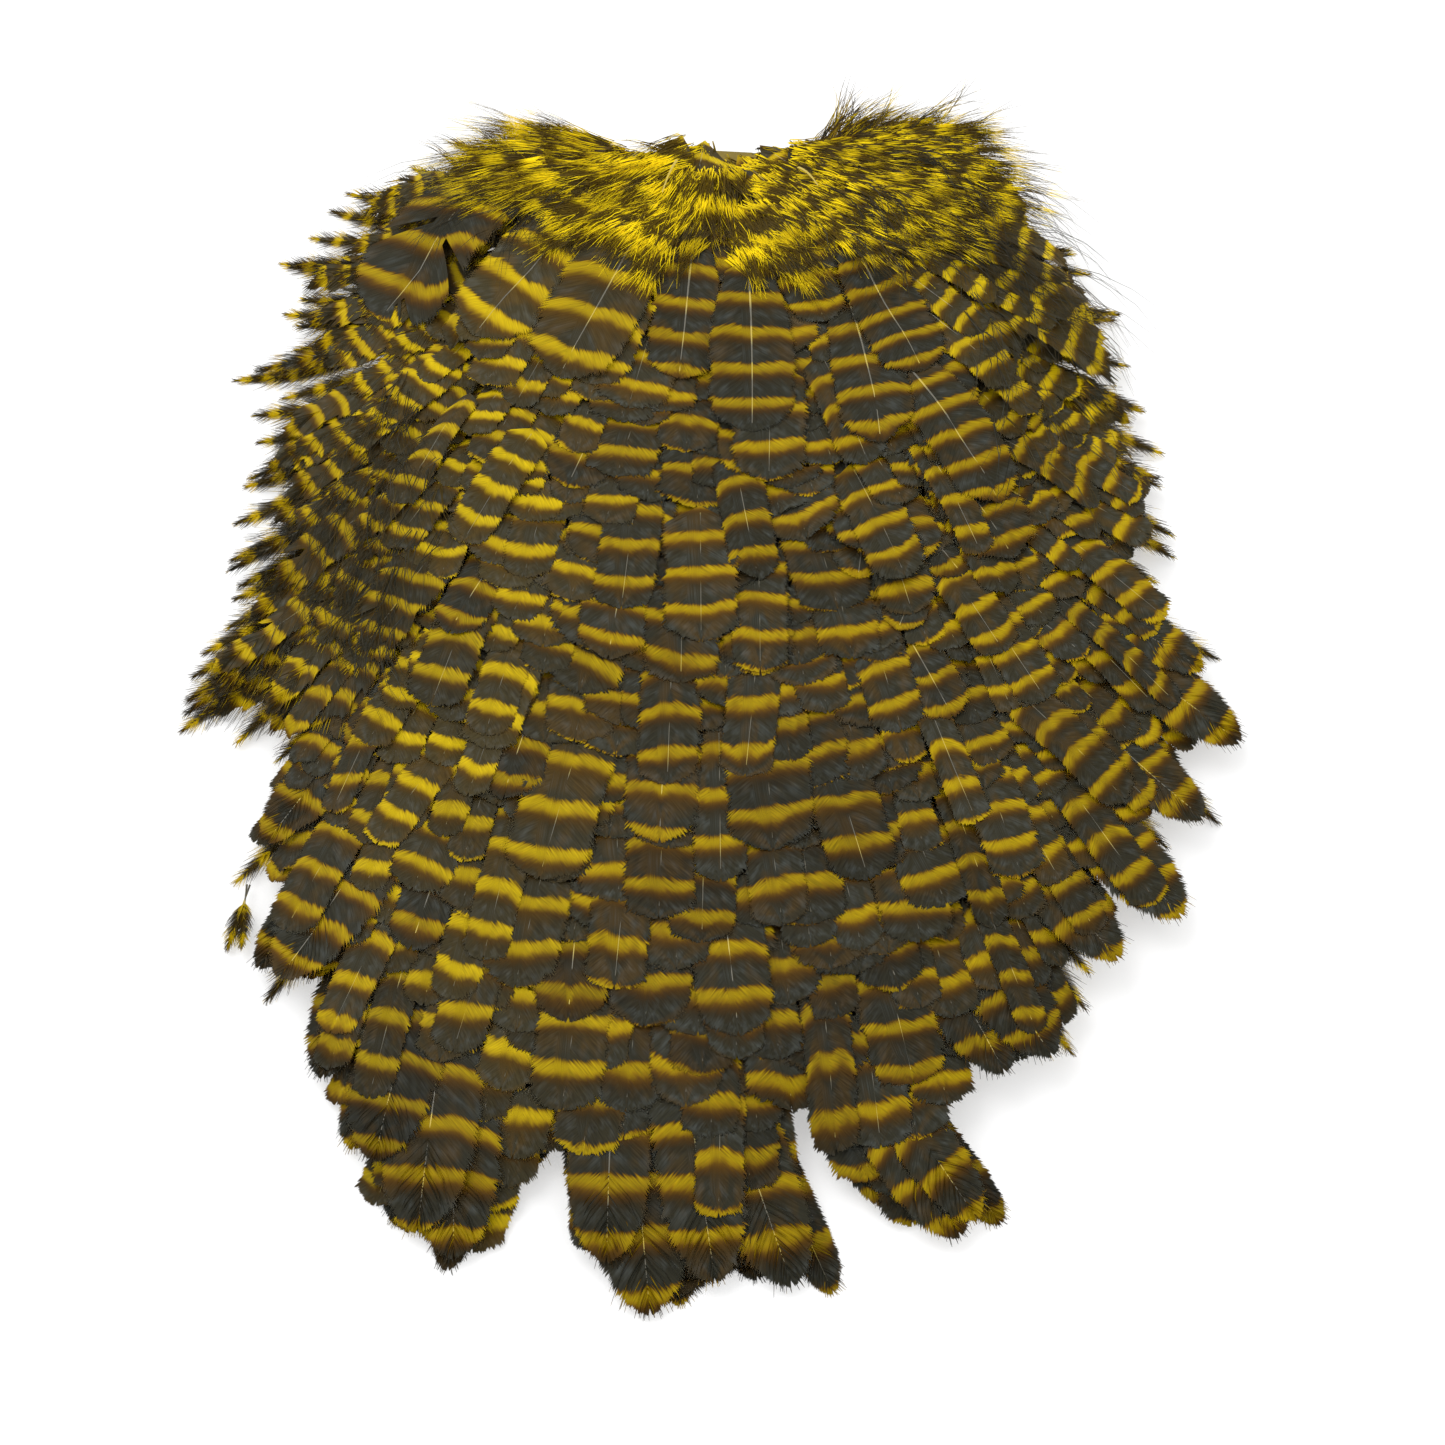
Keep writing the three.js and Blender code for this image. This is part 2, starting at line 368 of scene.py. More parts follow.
class Sheet:
    """A closed sheet of barbs in unit space, cut into locks by slits.

    Across runs from -1 to 1, row from 0 at the root end to the number of rows at the tip.
    """

    THICK = 0.1  # in unit space, only to tell the upper side from the lower
    PULL_ROWS = 1.6  # rows over which the pull of a slit dies away

    def __init__(
        self, rows: int, columns: int, slits: tuple[list[int], list[int]], inner: float, gather: float
    ) -> None:
        """Makes the sheet.

        Args:
            rows: Rows of faces from root to tip.
            columns: Columns of faces from margin to margin.
            slits: Rows that are cut, on the right side and on the left.
            inner: How far from the shaft a slit starts, from 0 to 1.
            gather: How far the barbs of a lock run together at its end.
        """
        self.rows = rows
        bm = bmesh.new()
        bmesh.ops.create_grid(bm, x_segments=columns, y_segments=rows, size=1.0)
        cut = []
        for face in bm.faces:
            centre = face.calc_center_median()
            row = int((centre.y + 1) / 2 * rows)
            if abs(centre.x) > inner and row in slits[1 if centre.x > 0 else 0]:
                cut.append(face)
        bmesh.ops.delete(bm, geom=cut, context="FACES")
        bmesh.ops.solidify(bm, geom=bm.faces[:], thickness=self.THICK)
        co, self.triangles = triangulated(bm)
        self.across = co[:, 0]
        self.row = np.rint((co[:, 1] + 1) / 2 * rows)
        self.column = np.rint((co[:, 0] + 1) / 2 * columns).astype(int)
        self.columns = columns
        self.under = (co[:, 2] < -self.THICK / 2).astype(float)
        self.top = self.triangles[(self.under[self.triangles] < 0.5).all(axis=1)]
        self.side = (self.across > 0).astype(int)
        out = np.clip((np.abs(self.across) - inner) / (1 - inner), 0, 1)
        pull = np.zeros_like(self.row)
        for side, cuts in enumerate(slits):
            for cut in cuts:
                below = np.where(self.row <= cut, np.exp(-(cut - self.row) / self.PULL_ROWS), 0.0)
                above = np.where(self.row > cut, np.exp(-(self.row - cut - 1) / self.PULL_ROWS), 0.0)
                pull += np.where(self.side == side, above - below, 0.0)
        self.gathered = np.clip(self.row + pull * gather * out**1.3, 0, rows)

    def cloud(self, points: np.ndarray) -> np.ndarray:
        """Points spread closely over the upper side."""
        share = np.array([[a, b, 3 - a - b] for a in range(4) for b in range(4 - a)]) / 3
        return np.einsum("kj,tjc->tkc", share, points[self.top]).reshape(-1, 3)

    def eased(self, lift: np.ndarray, passes: int) -> np.ndarray:
        """Spreads the lift of single points smoothly over the sheet, never lowering one.

        Args:
            lift: How far each point of the sheet has to rise.
            passes: How widely it is spread.

        Returns:
            The smooth lift of each point.
        """
        tall, broad = self.rows + 1, self.columns + 1
        place = (self.row.astype(int), self.column)
        grid = np.zeros((tall, broad))
        np.maximum.at(grid, place, lift)
        for _ in range(passes):
            for step in (np.max, np.mean):
                wide = np.pad(grid, 1, mode="edge")
                near = [wide[a:a + tall, b:b + broad] for a in range(3) for b in range(3)]
                grid = step(near, axis=0)
        return grid[place]


class Rod:
    """A closed rod in unit space, as rings of a few corners, thinned where it is used."""

    def __init__(self, corners: int, rings: int) -> None:
        """Makes the rod, its long edges cut into rings.

        Args:
            corners: Corners of a ring.
            rings: Number of rings.
        """
        bm = bmesh.new()
        bmesh.ops.create_cone(
            bm, cap_ends=True, cap_tris=False, segments=corners, radius1=1, radius2=1, depth=1
        )
        long = [e for e in bm.edges if abs(e.verts[0].co.z - e.verts[1].co.z) > 0.5]
        bmesh.ops.subdivide_edges(bm, edges=long, cuts=rings - 2, use_grid_fill=True)
        co, self.triangles = triangulated(bm)
        self.along = co[:, 2] + 0.5
        self.side = co[:, 0]
        self.up = co[:, 1]


@dataclass(frozen=True)
class Press:
    """Presses the loft of the coat down, in the plan's millimetres.

    Attributes:
        above: Height that is left as it is.
        kept: What is kept of the height over that, as a share.
        sight: How far the way down runs along the line of sight: 0 is plumb, 1 all of it.
        eye: Where the line of sight comes from.
    """

    above: float = 5.0
    kept: float = 0.5
    sight: float = 0.6
    eye: tuple[float, float, float] = (0.0, -202.5, 326.2)

    def flatten(self, points: np.ndarray) -> np.ndarray:
        """The points where they lie after pressing.

        Args:
            points: Points of the coat as it was laid.

        Returns:
            The same points, pressed.
        """
        plan, z = points[:, :2], points[:, 2:]
        fall = (1 - self.kept) * np.clip(z - self.above, 0, None)
        moved = self.sight * (plan - self.eye[:2]) * fall / (self.eye[2] - z)
        return np.hstack([plan + moved, z - fall])


def put(name: str, data: bpy.types.ID) -> bpy.types.Object:
    """Makes an object of a mesh, a lamp or a camera and puts it in the scene.

    Args:
        name: Its name.
        data: What it shows.

    Returns:
        The new object.
    """
    made = bpy.data.objects.new(name, data)
    bpy.context.scene.collection.objects.link(made)
    return made


class Batch:
    """Gathers points, triangles and their values, and makes one mesh of them."""

    VALUES = ("phase", "barb", "span", "tone", "glow")
    SHARP_DEG = 50.0  # edges that turn more than this stay sharp

    def __init__(self) -> None:
        """Starts empty."""
        self.points: list[np.ndarray] = []
        self.triangles: list[np.ndarray] = []
        self.values: dict[str, list[np.ndarray]] = {name: [] for name in self.VALUES}
        self.count = 0

    def add(self, points: np.ndarray, triangles: np.ndarray, **values: np.ndarray | float) -> None:
        """Adds a shape.

        Args:
            points: Its points in millimetres, in the plan's frame.
            triangles: Its triangles as rows of three point numbers.
            values: One number for each point, or one for all, by name.
        """
        self.points.append(points)
        self.triangles.append(triangles + self.count)
        for name in self.VALUES:
            self.values[name].append(np.broadcast_to(np.asarray(values.get(name, 0.0), float), len(points)))
        self.count += len(points)

    def make(self, name: str, material: bpy.types.Material) -> bpy.types.Object:
        """Makes the object, with its place in its mesh.

        Args:
            name: Name of the piece.
            material: Its finish.

        Returns:
            The new object.
        """
        points = Press().flatten(np.concatenate(self.points))
        points = (points + np.array([*SHIFT_MM, 0.0])) * MM
        triangles = np.concatenate(self.triangles)
        mesh = bpy.data.meshes.new(name)
        mesh.vertices.add(len(points))
        mesh.vertices.foreach_set("co", points.astype(np.float32).ravel())
        mesh.loops.add(triangles.size)
        mesh.loops.foreach_set("vertex_index", triangles.astype(np.int32).ravel())
        mesh.polygons.add(len(triangles))
        mesh.polygons.foreach_set("loop_start", np.arange(0, triangles.size, 3, dtype=np.int32))
        mesh.update(calc_edges=True)
        mesh.validate()
        for key, chunks in self.values.items():
            layer = mesh.attributes.new(key, "FLOAT", "POINT")
            layer.data.foreach_set("value", np.concatenate(chunks).astype(np.float32))
        mesh.shade_smooth()
        mesh.set_sharp_from_angle(angle=math.radians(self.SHARP_DEG))
        mesh.materials.append(material)
        return put(name, mesh)


class Graph:
    """Adds and joins the nodes of one material or node group."""

    def __init__(self, tree: bpy.types.NodeTree) -> None:
        """Starts on an empty tree."""
        self.tree = tree
        tree.nodes.clear()

    def node(self, kind: str, **settings: object) -> bpy.types.Node:
        """Adds a node and sets its properties.

        Args:
            kind: Its type.
            settings: Its properties.

        Returns:
            The node.
        """
        made = self.tree.nodes.new(kind)
        for key, value in settings.items():
            setattr(made, key, value)
        return made

    def feed(self, target: bpy.types.NodeSocket, value: object) -> None:
        """Joins a socket to an input, or sets the input to a plain value.

        Args:
            target: The input.
            value: A socket, a number or a colour.
        """
        if isinstance(value, bpy.types.NodeSocket):
            self.tree.links.new(value, target)
        elif isinstance(value, tuple) and len(value) == 3 and target.type == "RGBA":
            target.default_value = (*value, 1.0)
        else:
            target.default_value = value

    def feed_all(self, node: bpy.types.Node, given: dict[str, object]) -> None:
        """Joins or sets several inputs of a node by name."""
        for name, value in given.items():
            self.feed(node.inputs[name], value)

    def mesh_value(self, name: str) -> bpy.types.NodeSocket:
        """Reads one of the values that the mesh has for each point."""
        return self.node("ShaderNodeAttribute", attribute_name=name).outputs["Fac"]

    def bump(self, height: object, strength: float, depth_mm: float) -> bpy.types.NodeSocket:
        """Adds a relief.

        Args:
            height: The relief.
            strength: Its strength.
            depth_mm: Its depth.

        Returns:
            The normal.
        """
        made = self.node("ShaderNodeBump")
        self.feed_all(made, {"Strength": strength, "Distance": depth_mm * MM, "Height": height})
        return made.outputs["Normal"]

    def math(self, operation: str, *values: object) -> bpy.types.NodeSocket:
        """Adds a Math node.

        Args:
            operation: What it works out.
            values: Its inputs, in order.

        Returns:
            The result.
        """
        made = self.node("ShaderNodeMath", operation=operation)
        for target, value in zip(made.inputs, values):
            self.feed(target, value)
        return made.outputs[0]

    def vector(self, x: object, y: object, z: object) -> bpy.types.NodeSocket:
        """Joins three numbers into a vector.

        Args:
            x: First number.
            y: Second.
            z: Third.

        Returns:
            The vector.
        """
        made = self.node("ShaderNodeCombineXYZ")
        for target, value in zip(made.inputs, (x, y, z)):
            self.feed(target, value)
        return made.outputs[0]

    def noise(self, vector: object, scale: float, detail: float = 1.0) -> bpy.types.NodeSocket:
        """Adds a noise texture, whose value goes from 0 to 1.

        Args:
            vector: Where it is read.
            scale: How fine it is.
            detail: How rough it is.

        Returns:
            The result.
        """
        made = self.node("ShaderNodeTexNoise", noise_dimensions="3D")
        self.feed_all(made, {"Vector": vector, "Scale": scale, "Detail": detail})
        return made.outputs["Fac"]

    def swing(self, value: object, middle: float, size: float) -> bpy.types.NodeSocket:
        """Turns 0 to 1 into a swing of a size either side of zero, about the middle."""
        return self.math("MULTIPLY", self.math("SUBTRACT", value, middle), size)

    def ramp(self, value: object, stops: list[tuple[float, Rgb]]) -> bpy.types.NodeSocket:
        """Adds a colour ramp.

        Args:
            value: A number from 0 to 1.
            stops: Places on the ramp and their colours.

        Returns:
            The colour.
        """
        made = self.node("ShaderNodeValToRGB")
        self.feed(made.inputs[0], value)
        elements = made.color_ramp.elements
        while len(elements) > 1:
            elements.remove(elements[-1])
        elements[0].position = stops[0][0]
        elements[0].color = (*stops[0][1], 1.0)
        for position, colour in stops[1:]:
            elements.new(position).color = (*colour, 1.0)
        return made.outputs[0]

    def mix(self, share: object, a: object, b: object, blend: str = "MIX") -> bpy.types.NodeSocket:
        """Mixes two colours.

        Args:
            share: How much of the second shows.
            a: First colour.
            b: Second colour.
            blend: How they mix.

        Returns:
            The mixed colour.
        """
        made = self.node("ShaderNodeMix", data_type="RGBA", blend_type=blend)
        self.feed(made.inputs[0], share)
        self.feed(made.inputs[6], a)
        self.feed(made.inputs[7], b)
        return made.outputs[2]


def new_material(name: str) -> tuple[bpy.types.Material, Graph, bpy.types.Node]:
    """Starts a material.

    Args:
        name: Its name.

    Returns:
        The material, its graph, and the node of its surface, joined to the output.
    """
    material = bpy.data.materials.new(name)
    material.use_nodes = True
    g = Graph(material.node_tree)
    surface = g.node("ShaderNodeBsdfPrincipled")
    g.feed(g.node("ShaderNodeOutputMaterial").inputs["Surface"], surface.outputs["BSDF"])
    return material, g, surface


@dataclass(frozen=True)
class Dye:
    """The colours of a dyed, barred feather, in linear light.

    Attributes:
        bright: A bar where the dye shows most.
        warm: The dark between such bars.
        yellow: The middle of a bar.
        gold: A little outside the middle.
        amber: The bar's edges.
        brown: Where the bar fades into the dark.
        dark: The dark between the bars.
        slate: The same, next to the following bar.
        sheen: A painted grey sheen on the dark.
    """

    bright: Rgb = (0.86, 0.65, 0.005)
    warm: Rgb = (0.060, 0.033, 0.001)
    yellow: Rgb = (0.315, 0.213, 0.001)
    gold: Rgb = (0.235, 0.139, 0.001)
    amber: Rgb = (0.105, 0.050, 0.002)
    brown: Rgb = (0.054, 0.026, 0.004)
    dark: Rgb = (0.0280, 0.0205, 0.0085)
    slate: Rgb = (0.0255, 0.0240, 0.0145)
    sheen: Rgb = (0.064, 0.070, 0.064)

    def stops(self) -> list[tuple[float, Rgb]]:
        """Colours across one bar, from its crisp root side towards the next bar.

        Returns:
            Places across the bar and their colours.
        """
        return [
            (0.00, self.slate),
            (0.030, self.amber),
            (0.065, self.gold),
            (0.11, self.yellow),
            (0.20, self.yellow),
            (0.28, self.gold),
            (0.35, self.amber),
            (0.42, self.brown),
            (0.53, self.dark),
            (0.70, self.slate),
        ]


class BarredDye:
    """A node group: the bars of a feather from the values on its mesh."""

    INPUTS = ("Phase", "Barb", "Span", "Tone", "Glow")
    OUTPUTS = {"Cover": "NodeSocketFloat", "Color": "NodeSocketColor", "Relief": "NodeSocketFloat"}

    def __init__(self, dye: Dye) -> None:
        """Builds the group once.

        Args:
            dye: The colours.
        """
        self.group = bpy.data.node_groups.new("barred dye", "ShaderNodeTree")
        for name in (*self.INPUTS, "Fringe"):
            self.group.interface.new_socket(name, in_out="INPUT", socket_type="NodeSocketFloat")
        for name, kind in self.OUTPUTS.items():
            self.group.interface.new_socket(name, in_out="OUTPUT", socket_type=kind)
        g = Graph(self.group)
        given = g.node("NodeGroupInput").outputs
        barb, span, tone, glow = given["Barb"], given["Span"], given["Tone"], given["Glow"]
        streak = g.noise(g.vector(barb, g.math("MULTIPLY", span, 0.9), 0.0), 2.2, 2.0)
        fine = g.noise(g.vector(barb, g.math("MULTIPLY", span, 0.5), 9.0), 5.0, 1.0)
        blotch_at = g.vector(given["Phase"], g.math("MULTIPLY", span, 1.3), g.math("MULTIPLY", tone, 37.0))
        blotch = g.noise(blotch_at, 1.1, 2.0)
        phase = g.math("ADD", given["Phase"], g.swing(streak, 0.5, 0.16))
        phase = g.math("ADD", phase, g.swing(fine, 0.5, 0.12))
        phase = g.math("ADD", phase, g.swing(blotch, 0.5, 0.30))
        dyed = g.math("SUBTRACT", 1.0, g.math("MULTIPLY", glow, 0.24))
        bar = g.math("MULTIPLY", g.math("FRACT", phase), dyed)
        # Painted sheen: lighter grey patches on the dark between the bars.
        colour = self._painted_sheen(g, g.ramp(bar, dye.stops()), bar, given, dye)
        browned = g.ramp(blotch, [(0.50, BLACK), (0.66, WHITE)])
        share = g.math("MULTIPLY", browned, 0.6)
        colour = g.mix(share, colour, g.mix(0.5, colour, dye.amber))
        # Brighter dye where the glow is, partly painted light.
        colour = self._glow(g, colour, bar, glow, dye)
        # Lightness: painted shading in streaks along the barbs, each feather's own tone, and painted light
        # that brightens the bars where the glow is.
        light = g.math("ADD", g.swing(streak, 0.5, 0.45), g.swing(fine, 0.5, 1.1))
        light = g.math("ADD", light, g.swing(tone, 0.5, 0.35))
        light = g.math("ADD", light, g.math("ADD", 0.93, g.math("MULTIPLY", glow, 0.36)))
        result = g.node("NodeGroupOutput").inputs
        g.feed(result["Color"], g.mix(1.0, colour, g.vector(light, light, light), "MULTIPLY"))
        g.feed(result["Relief"], g.math("ADD", streak, g.math("MULTIPLY", fine, 0.6)))
        g.feed(result["Cover"], self._cover(g, given))

    @staticmethod
    def _painted_sheen(g: Graph, colour: object, bar: object, given: object, dye: Dye) -> bpy.types.NodeSocket:
        """Paints a grey sheen, a painted highlight, onto patches of the dark between the bars.

        Args:
            g: The graph to build in.
            colour: The colour so far.
            bar: Place across the bar, from 0 to 1.
            given: The group's inputs.
            dye: The colours.

        Returns:
            The colour with the painted sheen.
        """
        across = g.math("MULTIPLY", given["Span"], 2.0)
        own = g.math("MULTIPLY", given["Tone"], 23.0)
        place = g.vector(g.math("MULTIPLY", given["Barb"], 0.5), across, own)
        patches = g.ramp(g.noise(place, 1.6, 2.0), [(0.45, BLACK), (0.72, WHITE)])
        between = g.ramp(bar, [(0.48, BLACK), (0.75, WHITE), (0.97, (0.3, 0.3, 0.3))])
        share = g.math("MULTIPLY", g.math("MULTIPLY", patches, between), 0.7)
        return g.mix(share, colour, dye.sheen)

    @staticmethod
    def _glow(g: Graph, colour: object, bar: object, glow: object, dye: Dye) -> bpy.types.NodeSocket:
        """Shows more of the dye, partly as painted light: brighter bars with a warmer dark between them.

        Args:
            g: The graph to build in.
            colour: The colour so far.
            bar: Place across the bar, from 0 to 1.
            glow: How much of the dye shows, partly as painted light.
            dye: The colours.

        Returns:
            The colour with the dye and its painted light.
        """
        lit = g.ramp(bar, [(0.0, (0.1, 0.1, 0.1)), (0.06, WHITE), (0.26, WHITE), (0.4, (0.03, 0.03, 0.03))])
        colour = g.mix(g.math("MULTIPLY", glow, 0.8), colour, g.mix(lit, dye.warm, colour))
        return g.mix(g.math("MULTIPLY", g.math("MULTIPLY", glow, 0.82), lit), colour, dye.bright)

    @staticmethod
    def _cover(g: Graph, given: object) -> bpy.types.NodeSocket:
        """Where there are barbs: each ends a little before the margin, or nearly at it.

        Args:
            g: The graph to build in.
            given: The group's inputs.

        Returns:
            The mask.
        """
        worn = g.noise(g.vector(given["Barb"], 0.0, g.math("MULTIPLY", given["Tone"], 11.0)), 4.6, 1.0)
        worn = g.math("MULTIPLY", given["Fringe"], g.math("SUBTRACT", g.math("MULTIPLY", worn, 2.0), 0.5))
        ends = g.math("SUBTRACT", g.math("SUBTRACT", 1.0, worn), given["Span"])
        return g.ramp(g.math("MULTIPLY", ends, 20.0), [(0.0, BLACK), (1.0, WHITE)])

    def place(self, g: Graph) -> bpy.types.Node:
        """Puts the group in a material, fed by the mesh's values.

        Args:
            g: The material's graph.

        Returns:
            The group's node.
        """
        made = g.node("ShaderNodeGroup", node_tree=self.group)
        for name in self.INPUTS:
            g.feed(made.inputs[name], g.mesh_value(name.lower()))
        return made


@dataclass(frozen=True)
class VaneFinish:
    """Barbs of a feather: barred, soft and a little silky.

    Attributes:
        name: Name of the material.
        roughness: Roughness of the barbs.
        sheen: How much they gleam like cloth.
        relief: Strength of the grooves between them.
        specular: How much they mirror.
        wisp: How far they thin out to their ends, from 0 to 1.
        fringe: How much the margin is worn, or 0 for a whole one.
    """

    name: str
    roughness: float = 0.5
    sheen: float = 0.01
    relief: float = 0.3
    specular: float = 0.07
    wisp: float = 0.0
    fringe: float = 0.0

    def make(self, bars: BarredDye) -> bpy.types.Material:
        """Builds the material.

        Args:
            bars: The group that colours them.

        Returns:
            The material.
        """
        material, g, surface = new_material(self.name)
        barred = bars.place(g)
        g.feed(barred.inputs["Fringe"], self.fringe)
        if self.fringe:
            end = 1 - self.wisp
            thin = g.ramp(g.mesh_value("span"), [(0.5 - 0.4 * self.wisp, WHITE), (1.0, (end, end, end))])
            g.feed(surface.inputs["Alpha"], g.math("MULTIPLY", thin, barred.outputs["Cover"]))
        g.feed_all(surface, {
            "Base Color": barred.outputs["Color"],
            "Roughness": self.roughness,
            "Sheen Weight": self.sheen,
            "Sheen Roughness": 0.4,
            "Specular IOR Level": self.specular,
            "Normal": g.bump(barred.outputs["Relief"], self.relief, 0.15),
        })
        return material


@dataclass(frozen=True)
class QuillFinish:
    """Smooth horn of a feather's shaft, pale in the bars and grey between them.

    Attributes:
        name: Name of the material.
        pale: Colour in the bars.
        grey: Colour between them.
    """

    name: str = "quill horn"
    pale: Rgb = (0.50, 0.37, 0.04)
    grey: Rgb = (0.115, 0.105, 0.075)

    def make(self) -> bpy.types.Material:
        """Builds the material.

        Returns:
            The material.
        """
        material, g, surface = new_material(self.name)
        bar = g.math("FRACT", g.mesh_value("phase"))
        colour = g.ramp(bar, [(0.0, self.grey), (0.06, self.pale), (0.28, self.pale), (0.55, self.grey)])
        g.feed_all(surface, {"Base Color": colour, "Roughness": 0.35})
        return material


@dataclass(frozen=True)
class SkinFinish:
    """Dry dressed skin with a fine grain and patches of dye.

    Attributes:
        name: Name of the material.
        light: Colour where it took little dye.
        stained: Colour where it took more.
    """

    name: str = "dressed skin"
    light: Rgb = (0.40, 0.28, 0.02)
    stained: Rgb = (0.10, 0.07, 0.01)

    def make(self) -> bpy.types.Material:
        """Builds the material.

        Returns:
            The material.
        """
        material, g, surface = new_material(self.name)
        place = g.node("ShaderNodeTexCoord").outputs["Object"]
        stain = g.noise(place, 60.0, 4.0)
        grain = g.noise(place, 1400.0, 3.0)
        g.feed_all(surface, {
            "Base Color": g.ramp(stain, [(0.35, self.stained), (0.65, self.light)]),
            "Roughness": 0.7,
            "Normal": g.bump(grain, 0.5, 0.3),
        })
        return material


class Finishes:
    """The materials of the patch, made once."""

    def __init__(self) -> None:
        """Makes them."""
        bars = BarredDye(Dye())
        self.webbed = VaneFinish("webbed barbs", fringe=0.20).make(bars)
        self.loose = VaneFinish("loose barbs", roughness=0.6, sheen=0.015, fringe=0.25).make(bars)
        self.wispy = VaneFinish("wispy barbs", roughness=0.6, sheen=0.015, wisp=0.92, fringe=0.4).make(bars)
        self.downy = VaneFinish("down", roughness=0.55, sheen=0.006).make(bars)
        self.quill = QuillFinish().make()
        self.skin = SkinFinish().make()

    def edge(self, kind: Plumage) -> bpy.types.Material:
        """The finish of a feather's barbs at the edge of the coat."""
        return self.webbed if kind is Plumage.WEBBED else self.wispy


@dataclass(frozen=True)
class Tuft:
    """Size and spread of a lock of down, in millimetres.

    Attributes:
        strands: Number of strands.
        length: How long they are.
        spread: How far from the middle they are rooted.
        stray: How far single strands turn away, in radians.
        arch: How high the lock bows.
        fall: How far its end sinks.
        mottle: How far the lock's bars are off the coat's, in bars.
        glow: How much of the dye shows, partly as painted light that brightens it.
        bend: How far the lock curves round to the tail, in radians.
        thick: Half-thickness of a strand at its root.
        pitch: Distance between its bars.
        gather: How far the strands run together at the end.
        shade: How far its bars are moved towards the neck, in bars.
        brindle: Share of its strands that are dark where the others are bright.
        patch: How far whole patches of locks are off the coat's bars, in bars.
    """

    strands: int = 14
    length: float = 12.0
    spread: float = 0.9
    stray: float = 0.10
    arch: float = 0.8
    fall: float = 0.6
    mottle: float = 0.22
    glow: float = 0.15
    bend: float = 0.0
    thick: float = 0.10
    pitch: float = 6.6
    gather: float = 0.72
    shade: float = 0.0
    brindle: float = 0.14
    patch: float = 0.0


